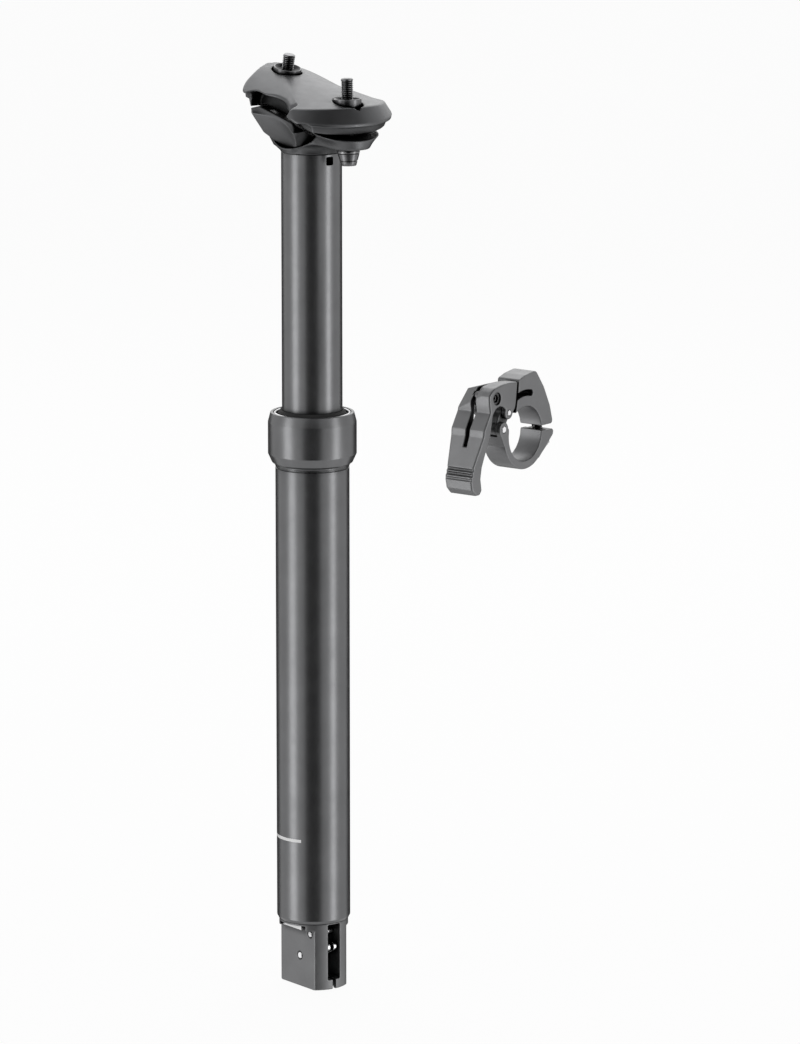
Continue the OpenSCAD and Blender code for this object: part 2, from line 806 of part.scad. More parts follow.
// The strap's round band, hinge eye and bolt lug
module strap_solid() {
    side_plate(-clamp_half, clamp_half) sector(strap_r, 180, 359);
    along_bar(strap_eye_r, strap_pin_at, -clamp_half, clamp_half);
    side_plate(-clamp_half, clamp_half) polygon([[-17.2, 2.9], [-14.2, -3], [-10.5, -3], [-11, 3.6]]);
    side_plate(-clamp_half, clamp_half)
        polygon([[9, -0.6], [18.6, -0.6], [19.2, -1.4], [19, -2.8], [14.1, -7.4], [9.4, -10.9], [6, -8]]);
}

module bar_strap() {
    reach = strap_eye_r + moving;
    slot_half = strap_knuckle + moving / 2;
    color("#55575a") on_bar() difference() {
        strap_solid();
        along_bar(bar_r, [0, 0], -far, far);
        along_bar(reach, strap_pin_at, -slot_half, slot_half);
        translate([strap_pin_at[0] - reach, -slot_half, strap_pin_at[1]]) cube([2 * reach, 2 * slot_half, 10]);
        along_bar(strap_pin_d / 2 + seated, strap_pin_at, -far, far);
        translate([bolt_at[0], 0, bolt_at[1]]) rotate([0, bolt_turn, 0]) {
            translate([0, 0, -far / 2]) cylinder(r = strap_bolt_d / 2 + 0.25, h = far);
            translate([0, 0, bolt_seat - far]) cylinder(r = strap_head_r + 0.3, h = far);
        }
    }
}

module strap_pin() {
    color("#d8dadc") on_bar() along_bar(strap_pin_d / 2, strap_pin_at, -clamp_half - 0.1, clamp_half + 0.1);
}

module strap_bolt() {
    color("#b9bbbe") on_bar() translate([bolt_at[0], 0, bolt_at[1]]) rotate([0, bolt_turn, 0]) difference() {
        union() {
            translate([0, 0, bolt_seat - 1]) cylinder(r = strap_bolt_d / 2, h = bolt_reach - bolt_seat + 1);
            translate([0, 0, bolt_seat - seated - strap_head_height])
                cylinder(r = strap_head_r, h = strap_head_height);
        }
        translate([0, 0, bolt_seat - strap_head_height - 1]) cylinder(r = 1.75, h = 3, $fn = 6);
    }
}

module thumb_pin() {
    color("#d8dadc") on_bar() along_bar(thumb_pin_d / 2, thumb_pin_at, lever_near - 0.1, lever_far + 0.1);
}

// The thumb lever seen along the bar: cheek, bend and paddle
module lever_side() {
    translate(thumb_pin_at) circle(r = thumb_eye_r);
    polygon([
        [-5.2, 21.6], [-9.5, 22.3], [-14, 22.2], [-20.4, 21], [-23, 19.9], [-24.2, 18.2], [-24, 14.5],
        [-23.4, 11.5], [-27.6, 4.8], [-27.9, 2.3], [-32.6, -9.4], [-34.2, -14], [-33.2, -18.4], [-30.6, -20.9],
        [-28, -20.9], [-26.6, -19.2], [-27.4, -14.4], [-26.4, -9.4], [-25, -4], [-23.6, 0.6],
        [-21.6, 10.4], [-19.6, 12.6], [-17, 13.3], [-15, 12.8], [-13.2, 11.6], [-11, 8], [-8.4, 9.5],
        [-6.8, 11.2], [-6.2, 13.4]
    ]);
}

module thumb_lever() {
    tip_inset = (lever_width - lever_tip_width) / 2;
    web = 2.4;
    color("#5a5c5f") on_bar() difference() {
        intersection() {
            side_plate(lever_near, lever_far) lever_side();
            cross_section(-far, far) polygon([
                [lever_near, far], [lever_near, 3], [lever_near + tip_inset, -10], [lever_near + tip_inset, -far],
                [lever_far - tip_inset, -far], [lever_far - tip_inset, -10], [lever_far, 3], [lever_far, far]
            ]);
        }
        side_plate(lever_near + cheek, lever_far - cheek) polygon([
            [-2, 21.8 - web], [-14, 22.2 - web], [-19.4, 21 - web], [-21.6, 17.4], [-21.4, 13], [-20.4, 4], [-2, 4]
        ]);
        translate([-40, lever_middle - lever_slot / 2, 1.8]) cube([40, lever_slot, 40]);
        translate([-40, lever_middle - lever_slot / 3, -2]) cube([40, lever_slot / 1.5, 10]);
        along_bar(thumb_pin_d / 2 + running, thumb_pin_at, -far, far);
        along_bar(barrel_r + seated, barrel_at, -far, far);
    }
}

module cable_barrel() {
    recess = 0.7;
    color("#46484b") on_bar() difference() {
        along_bar(barrel_r, barrel_at, lever_near + recess, lever_far - recess);
        translate([barrel_at[0], lever_middle, barrel_at[1]]) rotate([0, 60, 0])
            cylinder(r = 0.9, h = 20, center = true);
        along_bar(1.5 + seated, barrel_at, lever_near, lever_middle - 1);
    }
}

module barrel_screw() {
    color("#9fa1a4") on_bar() difference() {
        along_bar(1.5, barrel_at, lever_near + 1.6, lever_middle - 1.2);
        translate([barrel_at[0], lever_near + 1.4, barrel_at[1]]) rotate([-90, 0, 0])
            cylinder(r = 0.85, h = 2.4, $fn = 6);
    }
}

outer_tube();
seal_collar();
wiper_seal();
wiper_clip();
upper_bushing();
actuator_housing();
housing_keys();
lever_pin();
cross_pin();
gas_cylinder();
cylinder_foot();
rod_gland();
inner_tube();
seat_head();
piston_rod();
piston();
piston_ring();
piston_nut();
lower_bushing();
guide_keys();
rear_bolt();
rear_washers();
front_bolt();
front_washers();
lower_cradle();
upper_clamp();
front_nut();
rear_nut();
actuator_lever();
valve_pin();
bar_clamp();
bar_strap();
strap_pin();
strap_bolt();
thumb_pin();
thumb_lever();
cable_barrel();
barrel_screw();
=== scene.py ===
import math
import bmesh
import bpy
import numpy as np
from mathutils import Matrix, Vector


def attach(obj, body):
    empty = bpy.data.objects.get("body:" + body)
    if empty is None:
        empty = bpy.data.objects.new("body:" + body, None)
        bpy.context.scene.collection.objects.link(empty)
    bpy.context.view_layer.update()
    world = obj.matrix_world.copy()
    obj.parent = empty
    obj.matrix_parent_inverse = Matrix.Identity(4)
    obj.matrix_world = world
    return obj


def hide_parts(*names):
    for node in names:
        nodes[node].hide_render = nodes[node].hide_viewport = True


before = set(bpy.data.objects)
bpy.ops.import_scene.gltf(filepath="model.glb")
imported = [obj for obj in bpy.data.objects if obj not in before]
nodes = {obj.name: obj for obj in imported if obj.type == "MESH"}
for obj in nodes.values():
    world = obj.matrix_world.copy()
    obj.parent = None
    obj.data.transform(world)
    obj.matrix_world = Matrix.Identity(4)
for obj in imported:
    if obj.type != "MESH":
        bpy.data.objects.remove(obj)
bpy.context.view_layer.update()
scene = bpy.context.scene
scene.view_settings.view_transform = "Standard"
mm = 0.001  # every length below is in millimetres until a mesh is made
print("frame loaded,", len(nodes), "nodes")

view = {"azimuth": 52.5, "pitch": 11.2, "distance": 2.5, "lens": 206.44, "aim": (0.02222, 0.02896, -0.02464)}


def direction(azimuth, pitch):
    turn, rise = math.radians(azimuth), math.radians(pitch)
    return Vector((math.sin(turn) * math.cos(rise), -math.cos(turn) * math.cos(rise), math.sin(rise)))


def lookAt(obj, target):
    obj.rotation_euler = (Vector(target) - obj.location).to_track_quat("-Z", "Y").to_euler()


def makeCamera():
    data = bpy.data.cameras.new("photoCamera")
    data.sensor_width, data.lens, data.clip_end = 36, view["lens"], 20
    cam = bpy.data.objects.new("photoCamera", data)
    scene.collection.objects.link(cam)
    cam.location = Vector(view["aim"]) + direction(view["azimuth"], view["pitch"]) * view["distance"]
    lookAt(cam, view["aim"])
    scene.camera = cam


makeCamera()

# azimuth and height in degrees, distance and size in metres, brightness of the panel's face
studio = {
    "left": {"azimuth": -13, "pitch": -9, "distance": 1.4, "size": (0.55, 1.8), "level": 2.8},
    "right": {"azimuth": 119, "pitch": -9, "distance": 1.4, "size": (0.42, 1.8), "level": 3.0},
    "top": {"azimuth": 228, "pitch": 42, "distance": 1.5, "size": (2.0, 1.3), "level": 1.45},
    "frontFlag": {"azimuth": 53, "pitch": -9, "distance": 1.3, "size": (1.15, 1.8)},
    "overFlag": {"azimuth": 92, "pitch": 60, "distance": 1.5, "size": (2.4, 1.3)},
    "backFlag": {"azimuth": 232.5, "pitch": -18, "distance": 1.4, "size": (3.0, 1.1)},
    "floor": -0.2237,
    "fill": 0.4,
}


def softbox(name):
    part = studio[name]
    data = bpy.data.lights.new("softbox" + name.capitalize(), "AREA")
    data.shape, (data.size, data.size_y) = "RECTANGLE", part["size"]
    data.energy = math.pi * part["size"][0] * part["size"][1] * part["level"]
    lamp = bpy.data.objects.new(data.name, data)
    scene.collection.objects.link(lamp)
    lamp.location = direction(part["azimuth"], part["pitch"]) * part["distance"]
    lookAt(lamp, (0, 0, 0))
    lamp.visible_camera = False


def plane(name, width, depth):
    mesh = bpy.data.meshes.new(name)
    w, d = width / 2, depth / 2
    mesh.from_pydata([(-w, -d, 0), (w, -d, 0), (w, d, 0), (-w, d, 0)], [], [(0, 1, 2, 3)])
    obj = bpy.data.objects.new(name, mesh)
    scene.collection.objects.link(obj)
    return obj


def seenRays(tree):
    # 1 for rays from the camera and for those in shine or glass
    path = tree.nodes.new("ShaderNodeLightPath")
    total = None
    for ray in ("Is Camera Ray", "Is Glossy Ray", "Is Transmission Ray"):
        if total is None:
            total = path.outputs[ray]
            continue
        add = tree.nodes.new("ShaderNodeMath")
        add.operation, add.use_clamp = "ADD", True
        tree.links.new(total, add.inputs[0])
        tree.links.new(path.outputs[ray], add.inputs[1])
        total = add.outputs[0]
    return total


def makeStudio():
    for name in ("left", "right", "top"):
        softbox(name)
    world = bpy.data.worlds.new("paleRoom")
    scene.world = world
    world.use_nodes = True
    tree = world.node_tree
    back = tree.nodes["Background"]
    back.inputs["Color"].default_value = (1, 1, 1, 1)
    level = tree.nodes.new("ShaderNodeMapRange")
    level.inputs["To Min"].default_value, level.inputs["To Max"].default_value = studio["fill"], 1
    tree.links.new(seenRays(tree), level.inputs["Value"])
    tree.links.new(level.outputs[0], back.inputs["Strength"])

    floor = plane("floor", 14, 14)
    floor.location.z = studio["floor"]
    mat = bpy.data.materials.new("paleFloor")
    mat.use_nodes = True
    tree = mat.node_tree
    paint = tree.nodes["Principled BSDF"]
    paint.inputs["Base Color"].default_value = (0.86, 0.86, 0.86, 1)
    paint.inputs["Roughness"].default_value = 0.9
    glow = tree.nodes.new("ShaderNodeEmission")
    share = tree.nodes.new("ShaderNodeMapRange")
    share.inputs["To Max"].default_value = 0.95
    mix = tree.nodes.new("ShaderNodeMixShader")
    tree.links.new(seenRays(tree), share.inputs["Value"])
    tree.links.new(share.outputs[0], mix.inputs[0])
    tree.links.new(paint.outputs[0], mix.inputs[1])
    tree.links.new(glow.outputs[0], mix.inputs[2])
    tree.links.new(mix.outputs[0], tree.nodes["Material Output"].inputs["Surface"])
    floor.data.materials.append(mat)

    floor.visible_glossy = floor.visible_shadow = False
    felt = bpy.data.materials.new("flagFelt")
    felt.use_nodes = True
    felt.node_tree.nodes["Principled BSDF"].inputs["Base Color"].default_value = (0.03, 0.03, 0.03, 1)
    felt.node_tree.nodes["Principled BSDF"].inputs["Roughness"].default_value = 1
    for name in ("frontFlag", "overFlag", "backFlag"):
        part = studio[name]
        flag = plane(name, *part["size"])
        flag.location = direction(part["azimuth"], part["pitch"]) * part["distance"]
        lookAt(flag, (0, 0, 0))
        flag.visible_camera = flag.visible_shadow = flag.visible_diffuse = False
        flag.data.materials.append(felt)


makeStudio()
print("camera and studio set")

# colour, metal share, roughness, grains per metre and their depth, and how far the painted shade in nooks
# reaches
finishes = {
    "tubeBlack": {"colour": (0.125, 0.126, 0.129), "metal": 0.9, "rough": 0.3, "grain": 5200, "depth": 0.02},
    "tubeLined": {"colour": (0.125, 0.126, 0.129), "metal": 0.9, "rough": 0.3, "grain": 5200, "depth": 0.02,
                  "line": {"height": -0.1584, "half": 0.00065, "towards": (-0.609, -0.793),
                           "reach": 0.005, "tone": 0.72}},
    "forgedBlack": {"colour": (0.095, 0.096, 0.099), "metal": 0.88, "rough": 0.4, "grain": 3600,
                    "depth": 0.06, "paintedNookShade": 0.018},
    "cradleBlack": {"colour": (0.11, 0.111, 0.114), "metal": 0.85, "rough": 0.45, "grain": 3600,
                    "depth": 0.06, "paintedNookShade": 0.014},
    "tailGrey": {"colour": (0.15, 0.151, 0.154), "metal": 0.85, "rough": 0.45, "grain": 4200, "depth": 0.05},
    "leverGrey": {"colour": (0.145, 0.146, 0.149), "metal": 0.85, "rough": 0.42, "grain": 4200,
                  "depth": 0.05},
    "boltSteel": {"colour": (0.12, 0.12, 0.123), "metal": 1, "rough": 0.3, "grain": 6000, "depth": 0.03},
    "washerSteel": {"colour": (0.36, 0.36, 0.365), "metal": 1, "rough": 0.28, "grain": 6000, "depth": 0.03},
    "nutSteel": {"colour": (0.13, 0.13, 0.133), "metal": 1, "rough": 0.3, "grain": 6000, "depth": 0.03},
    "brightSteel": {"colour": (0.78, 0.78, 0.79), "metal": 1, "rough": 0.22, "grain": 6000, "depth": 0.02},
    "rubber": {"colour": (0.012, 0.012, 0.012), "metal": 0, "rough": 0.62, "grain": 2600, "depth": 0.08},
    "bronze": {"colour": (0.38, 0.27, 0.13), "metal": 1, "rough": 0.38, "grain": 3000, "depth": 0.04},
    "cylinderSteel": {"colour": (0.5, 0.5, 0.51), "metal": 1, "rough": 0.28, "grain": 4000, "depth": 0.03},
}


def finish(name):
    found = bpy.data.materials.get(name)
    if found:
        return found
    look = finishes[name]
    mat = bpy.data.materials.new(name)
    mat.use_nodes = True
    tree = mat.node_tree
    base = tree.nodes["Principled BSDF"]
    base.inputs["Metallic"].default_value = look["metal"]
    place = tree.nodes.new("ShaderNodeTexCoord").outputs["Object"]

    def noise(scale, detail):
        tex = tree.nodes.new("ShaderNodeTexNoise")
        tex.inputs["Scale"].default_value, tex.inputs["Detail"].default_value = scale, detail
        tree.links.new(place, tex.inputs["Vector"])
        return tex.outputs["Fac"]

    def spread(value, low, high):
        span = tree.nodes.new("ShaderNodeMapRange")
        span.inputs["From Min"].default_value, span.inputs["From Max"].default_value = 0.3, 0.7
        span.inputs["To Min"].default_value, span.inputs["To Max"].default_value = low, high
        tree.links.new(value, span.inputs["Value"])
        return span.outputs[0]

    tone = tree.nodes.new("ShaderNodeMix")  # slow mottling of the colour
    tone.data_type = "RGBA"
    tone.inputs["A"].default_value = (*[c * 0.93 for c in look["colour"]], 1)
    tone.inputs["B"].default_value = (*[c * 1.07 for c in look["colour"]], 1)
    tree.links.new(spread(noise(90, 4), 0, 1), tone.inputs["Factor"])
    edge = tree.nodes.new("ShaderNodeNewGeometry").outputs["Pointiness"]  # sharp edges are painted lighter, as worn metal and as a painted edge highlight
    edgeWearAndHighlight = tree.nodes.new("ShaderNodeMapRange")
    edgeWearAndHighlight.inputs["From Min"].default_value, edgeWearAndHighlight.inputs["From Max"].default_value = 0.53, 0.66
    edgeWearAndHighlight.inputs["To Max"].default_value = 0.35
    tree.links.new(edge, edgeWearAndHighlight.inputs["Value"])
    # the lighter edge colour: worn metal and a painted edge highlight
    edgeWearAndHighlightColour = tree.nodes.new("ShaderNodeMix")
    edgeWearAndHighlightColour.data_type = "RGBA"
    edgeWearAndHighlightColour.inputs["B"].default_value = (*[min(1, c * 1.9 + 0.02) for c in look["colour"]], 1)
    tree.links.new(edgeWearAndHighlight.outputs[0], edgeWearAndHighlightColour.inputs["Factor"])
    paintedCreaseShade = tree.nodes.new("ShaderNodeMapRange")  # painted shade: hollows and grooves are painted darker
    paintedCreaseShade.inputs["From Min"].default_value, paintedCreaseShade.inputs["From Max"].default_value = 0.36, 0.49
    paintedCreaseShade.inputs["To Min"].default_value = 0.35
    tree.links.new(edge, paintedCreaseShade.inputs["Value"])
    # mixes the painted shade of hollows and nooks into the colour, towards black
    shade = tree.nodes.new("ShaderNodeMix")
    shade.data_type = "RGBA"
    shade.inputs["A"].default_value = (0, 0, 0, 1)
    paintedNookShade = tree.nodes.new("ShaderNodeAmbientOcclusion")  # nooks between pieces get painted shade too, from ambient occlusion
    paintedNookShade.samples, paintedNookShade.inputs["Distance"].default_value = 6, look.get("paintedNookShade", 0.004)
    depth = tree.nodes.new("ShaderNodeMath")
    depth.operation, depth.inputs[1].default_value = "POWER", 2.8
    tree.links.new(paintedNookShade.outputs["AO"], depth.inputs[0])
    both = tree.nodes.new("ShaderNodeMath")
    both.operation = "MULTIPLY"
    tree.links.new(paintedCreaseShade.outputs[0], both.inputs[0])
    tree.links.new(depth.outputs[0], both.inputs[1])
    tree.links.new(both.outputs[0], shade.inputs["Factor"])
    tree.links.new(tone.outputs["Result"], shade.inputs["B"])
    tree.links.new(shade.outputs["Result"], edgeWearAndHighlightColour.inputs["A"])
    tree.links.new(edgeWearAndHighlightColour.outputs["Result"], base.inputs["Base Color"])
    rough = spread(noise(260, 3), look["rough"] * 0.94, look["rough"] * 1.06)
    tree.links.new(rough, base.inputs["Roughness"])
    bump = tree.nodes.new("ShaderNodeBump")
    bump.inputs["Strength"].default_value = look["depth"]
    bump.inputs["Distance"].default_value = 0.0002
    tree.links.new(noise(look["grain"], 2), bump.inputs["Height"])
    tree.links.new(bump.outputs[0], base.inputs["Normal"])
    if "line" in look:
        paintLine(tree, base, place, edgeWearAndHighlightColour.outputs["Result"], look)
    return mat


def paintLine(tree, base, place, colour, look):
    # a white mark round one side of the tube at a height
    line = look["line"]

    def mathStep(operation, *values):
        step = tree.nodes.new("ShaderNodeMath")
        step.operation = operation
        for socket, value in zip(step.inputs, values):
            if isinstance(value, (int, float)):
                socket.default_value = value
            else:
                tree.links.new(value, socket)
        return step.outputs[0]

    split = tree.nodes.new("ShaderNodeSeparateXYZ")
    tree.links.new(place, split.inputs[0])
    x, y, z = (split.outputs[axis] for axis in "XYZ")
    inBand = mathStep("COMPARE", z, line["height"], line["half"])
    towards = [mathStep("MULTIPLY", axis, share) for axis, share in zip((x, y), line["towards"])]
    side = mathStep("ADD", *towards)
    mask = mathStep("MULTIPLY", inBand, mathStep("GREATER_THAN", side, line["reach"]))
    paint = tree.nodes.new("ShaderNodeMix")
    paint.data_type = "RGBA"
    paint.inputs["B"].default_value = (line["tone"], line["tone"], line["tone"], 1)
    tree.links.new(mask, paint.inputs["Factor"])
    tree.links.new(colour, paint.inputs["A"])
    tree.links.new(paint.outputs["Result"], base.inputs["Base Color"])
    metal = mathStep("MULTIPLY", mathStep("SUBTRACT", 1, mask), look["metal"])
    tree.links.new(metal, base.inputs["Metallic"])


def addPiece(name, mesh, mat, body, node):
    obj = bpy.data.objects.new(name, mesh)
    scene.collection.objects.link(obj)
    mesh.materials.append(finish(mat))
    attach(obj, body)
    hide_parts(node)


def rounded(points, radius, steps=5):
    # a closed outline with each corner turned into an arc
    out, count = [], len(points)
    for i, at in enumerate(points):
        r = at[2] if len(at) > 2 else radius
        p, q, s = (np.array(points[j % count][:2], float) for j in (i - 1, i, i + 1))
        a, b = (p - q) / np.linalg.norm(p - q), (s - q) / np.linalg.norm(s - q)
        turn = math.acos(max(-1, min(1, float(a @ b))))
        if r <= 0 or turn > math.radians(176):
            out.append(tuple(q))
            continue
        reach = min(r / math.tan(turn / 2), 0.45 * np.linalg.norm(p - q), 0.45 * np.linalg.norm(s - q))
        for k in range(steps + 1):
            t = k / steps
            out.append(tuple(q + a * reach * (1 - t) ** 2 + b * reach * t ** 2))
    return out


def lathe(name, outline, segments=192, axis=None):
    # turns an outline of radius and height about the post's axis, or about another placed axis
    angle = np.linspace(0, 2 * math.pi, segments, endpoint=False)
    ring = np.array(outline, float)
    pts = np.stack([np.outer(ring[:, 0], np.cos(angle)), np.outer(ring[:, 0], np.sin(angle)),
                    np.repeat(ring[:, 1:2], segments, 1)], -1).reshape(-1, 3)
    count = len(ring)
    faces = [(i * segments + j, i * segments + (j + 1) % segments,
              (i + 1) % count * segments + (j + 1) % segments, (i + 1) % count * segments + j)
             for i in range(count) for j in range(segments)]
    mesh = bpy.data.meshes.new(name)
    mesh.from_pydata((pts * mm).tolist(), [], faces)
    tidyMesh(mesh)
    if axis is not None:
        mesh.transform(axis)
    mesh.shade_smooth()
    mesh.set_sharp_from_angle(angle=math.radians(38))
    return mesh


def tidyMesh(mesh):
    work = bmesh.new()
    work.from_mesh(mesh)
    bmesh.ops.remove_doubles(work, verts=work.verts, dist=1e-7)
    bmesh.ops.dissolve_degenerate(work, dist=1e-8, edges=work.edges)
    bmesh.ops.recalc_face_normals(work, faces=work.faces)
    work.to_mesh(mesh)
    work.free()


def prism(name, outline, low, high):
    # an outline in Y and Z drawn out along X
    pts = [(x, y, z) for x in (low, high) for y, z in outline]
    count = len(outline)
    faces = [tuple(range(count)), tuple(range(2 * count - 1, count - 1, -1))]
    faces += [(i, count + i, count + (i + 1) % count, (i + 1) % count) for i in range(count)]
    mesh = bpy.data.meshes.new(name)
    mesh.from_pydata((np.array(pts) * mm).tolist(), [], faces)
    tidyMesh(mesh)
    return mesh


def carved(mesh, cutter):
    # a mesh with another one taken out of it
    whole, tool = (bpy.data.objects.new(part.name + "Work", part) for part in (mesh, cutter))
    for obj in (whole, tool):
        scene.collection.objects.link(obj)
    carve = whole.modifiers.new("carve", "BOOLEAN")
    carve.operation, carve.solver, carve.object = "DIFFERENCE", "EXACT", tool
    result = bpy.data.meshes.new_from_object(whole.evaluated_get(bpy.context.evaluated_depsgraph_get()))
    for obj in (whole, tool):
        bpy.data.objects.remove(obj)
    result.shade_smooth()
    result.set_sharp_from_angle(angle=math.radians(30))
    return result


def placed(spot, tilt=0.0):
    # a frame at a point of the centre plane, leaning about Y
    return Matrix.Translation(Vector(spot) * mm) @ Matrix.Rotation(math.radians(tilt), 4, "Y")


def softMax(a, b, k):
    return np.maximum(a, b) + np.maximum(k - np.abs(a - b), 0) ** 2 / (4 * k)


def softMin(a, b, k):
    return -softMax(-a, -b, k)


def between(value, low, high):
    return np.maximum(low - value, value - high)


def ringRound(spot, x, z):
    return np.hypot(x - spot[0], z - spot[1])


def outlineDistance(points, x, y):
    # signed distance to a closed outline, negative inside
    pts = np.asarray(points, float)
    x, y = np.broadcast_arrays(x, y)
    best, side = np.full(x.shape, 1e9), np.ones(x.shape)
    for a, b in zip(pts, np.roll(pts, -1, 0)):
        ex, ey = b - a
        px, py = x - a[0], y - a[1]
        t = np.clip((px * ex + py * ey) / (ex * ex + ey * ey), 0, 1)
        best = np.minimum(best, (px - ex * t) ** 2 + (py - ey * t) ** 2)
        over, under, left = y >= a[1], y < b[1], ex * py > ey * px
        side = np.where((over & under & left) | (~over & ~under & ~left), -side, side)
    return side * np.sqrt(best)


def softOutline(points, x, y, soften):
    # the same with its corners eased
    total = 0
    for k in range(6):
        turn = k * math.pi / 3
        total = total + outlineDistance(points, x + soften * math.cos(turn), y + soften * math.sin(turn))
    return total / 6


def smoothLine(points, steps=6):
    # a closed curve through the points
    pts, out = np.asarray(points, float), []
    count = len(pts)
    for i in range(count):
        p0, p1, p2, p3 = pts[i - 1], pts[i], pts[(i + 1) % count], pts[(i + 2) % count]
        for k in range(steps):
            t = k / steps
            out.append(0.5 * (2 * p1 + (p2 - p0) * t + (2 * p0 - 5 * p1 + 4 * p2 - p3) * t * t
                              + (3 * p1 - p0 - 3 * p2 + p3) * t ** 3))
    return out


def skin(name, field, low, high, step, place=None):
    # a mesh over the zero of a field that is negative inside the piece
    grid = [np.arange(l, h + step, step) for l, h in zip(low, high)]
    values = field(grid[0][:, None, None], grid[1][None, :, None], grid[2][None, None, :])
    values = np.asarray(values, np.float32)
    inside = values < 0
    shape = np.array(values.shape) - 1
    spots = [(i, j, k) for i in (0, 1) for j in (0, 1) for k in (0, 1)]

    def shifted(array, spot):
        return array[tuple(slice(s, s + n) for s, n in zip(spot, shape))]

    filled = sum(shifted(inside, s).astype(np.int8) for s in spots)
    cells = np.argwhere((filled > 0) & (filled < 8))
    corner = np.stack([values[tuple((cells + s).T)] for s in spots], 1)
    total, hits = np.zeros((len(cells), 3)), np.zeros((len(cells), 1))
    for a in range(8):
        for b in range(a + 1, 8):
            gap = np.array(spots[b]) - spots[a]
            if np.abs(gap).sum() != 1:
                continue
            va, vb = corner[:, a], corner[:, b]
            cut = (va < 0) != (vb < 0)
            t = np.where(cut, va / np.where(cut, va - vb, 1), 0)[:, None]
            total += np.where(cut[:, None], np.array(spots[a]) + gap * t, 0)
            hits += cut[:, None]
    pts = np.array([g[0] for g in grid]) + (cells + total / hits) * step
    for turn in range(4):  # pulls the points on to the surface
        value = field(*pts.T)
        eps = 0.25 * step
        slope = np.stack([(field(*(pts + d).T) - field(*(pts - d).T)) / (2 * eps)
                          for d in np.eye(3) * eps], 1)
        move = slope * (value / np.maximum((slope ** 2).sum(1), 0.05))[:, None]
        size = np.linalg.norm(move, axis=1, keepdims=True)
        pts = pts - move * np.minimum(1, 0.5 * step / np.maximum(size, 1e-9))
    index = np.full(tuple(shape), -1, np.int64)
    index[tuple(cells.T)] = np.arange(len(cells))
    quads = []
    for axis in range(3):
        b, c = (axis + 1) % 3, (axis + 2) % 3
        first = [slice(None)] * 3
        second = [slice(None)] * 3
        first[axis], second[axis] = slice(0, -1), slice(1, None)
        near, far = inside[tuple(first)], inside[tuple(second)]
        edges = np.argwhere(near != far)
        across, up = edges[:, b], edges[:, c]
        edges = edges[(across > 0) & (up > 0) & (across < shape[b]) & (up < shape[c])]
        ring = []
        for db, dc in ((-1, -1), (0, -1), (0, 0), (-1, 0)):
            at = edges.copy()
            at[:, b] += db
            at[:, c] += dc
            ring.append(index[tuple(at.T)])
        ring = np.stack(ring, 1)
        turned = near[tuple(edges.T)]
        quads.append(np.where(turned[:, None], ring, ring[:, ::-1]))
    mesh = bpy.data.meshes.new(name)
    mesh.from_pydata((pts * mm).tolist(), [], np.concatenate(quads).tolist())
    mesh.validate()
    if place is not None:
        mesh.transform(place)
    mesh.shade_smooth()
    return mesh


tubes = {"outerR": 15.45, "outerBore": 13.85, "foot": -194.5, "chamfer": 1.4, "footR": 14.75,
         "innerR": 12.6, "innerBore": 10.9, "innerTop": 131.3, "innerFoot": -84, "window": 3.6,
         "groove": 0.3, "threadR": 14.95, "threadTop": 13}
collar = {"r": 18.5, "height": 22.4, "bevel": 4.9, "shoulder": 4.2, "cupR": 16.2, "cupFloor": 15,
          "step": 13.2, "wireR": 0.55}


def makeTubes():
    t = tubes
    r, bore, dented = t["outerR"], t["outerBore"], t["outerR"] - t["groove"]
    outer = rounded([
        (bore, t["foot"], 0.2), (t["footR"], t["foot"], 0.35), (r, t["foot"] + t["chamfer"], 0.6),
        (r, -1.15, 0.1), (dented, -1, 0.1), (dented, -0.6, 0.1), (r, -0.45, 0.1), (r, -0.04, 0.1),
        (t["threadR"], -0.04, 0), (t["threadR"], t["threadTop"], 0.2), (bore, t["threadTop"], 0.2)], 0.2)
    addPiece("outerTube", lathe("outerTube", outer, 256), "tubeLined", "outer_post", "outer_tube")
    r, bore = t["innerR"], t["innerBore"]
    inner = rounded([(bore, t["innerFoot"], 0.2), (r, t["innerFoot"], 0.4), (r, t["innerTop"], 0.25),
                     (bore, t["innerTop"], 0.1)], 0.2)
    half, middle = t["window"] / 2, t["innerTop"] - 1 - t["window"] / 2
    low, high = middle - half, middle + half
    square = rounded([(-half, low), (half, low), (half, high), (-half, high)], 0.7, 4)
    mesh = carved(lathe("innerTube", inner, 256), prism("windowCut", square, bore - 3, bore + 3))
    addPiece("innerTube", mesh, "tubeBlack", "inner_post", "inner_tube")


def makeCollar():
    c = collar
    shell = rounded([
        (14.99, 0, 0), (15.62, 0, 0.1), (15.75, 0.5, 0.15), (16.9, 1.35, 0.4), (c["r"], c["bevel"], 0.5),
        (c["r"], c["height"] - c["shoulder"], 0.5), (c["r"] - 1.1, c["height"], 0.5),
        (c["cupR"], c["height"], 0.3), (c["cupR"], c["cupFloor"], 0.2),
        (12.9, c["cupFloor"], 0.2), (12.9, c["step"], 0.2), (14.99, c["step"], 0.2)], 0.3)
    addPiece("sealCollar", lathe("sealCollar", shell, 256), "tubeBlack", "outer_post", "seal_collar")
    lip = rounded([
        (13.38, 15.04, 0.1), (16.16, 15.04, 0.1), (16.16, 21.1, 0.15), (14.68, 21.1, 0.3),
        (13.48, 23.2, 0.25), (12.68, 23.2, 0.2), (12.68, 21.6, 0.2), (13.38, 20.4, 0.2)], 0.2)
    addPiece("wiperSeal", lathe("wiperSeal", lip, 192), "rubber", "outer_post", "wiper_seal")
    turns = np.linspace(0, 2 * math.pi, 16, endpoint=False)
    wire = [(15.61 + c["wireR"] * math.cos(a), 21.7 + c["wireR"] * math.sin(a)) for a in turns]
    addPiece("wiperClip", lathe("wiperClip", wire, 192), "brightSteel", "outer_post", "wiper_clip")


makeTubes()
makeCollar()
print("tubes and collar made")

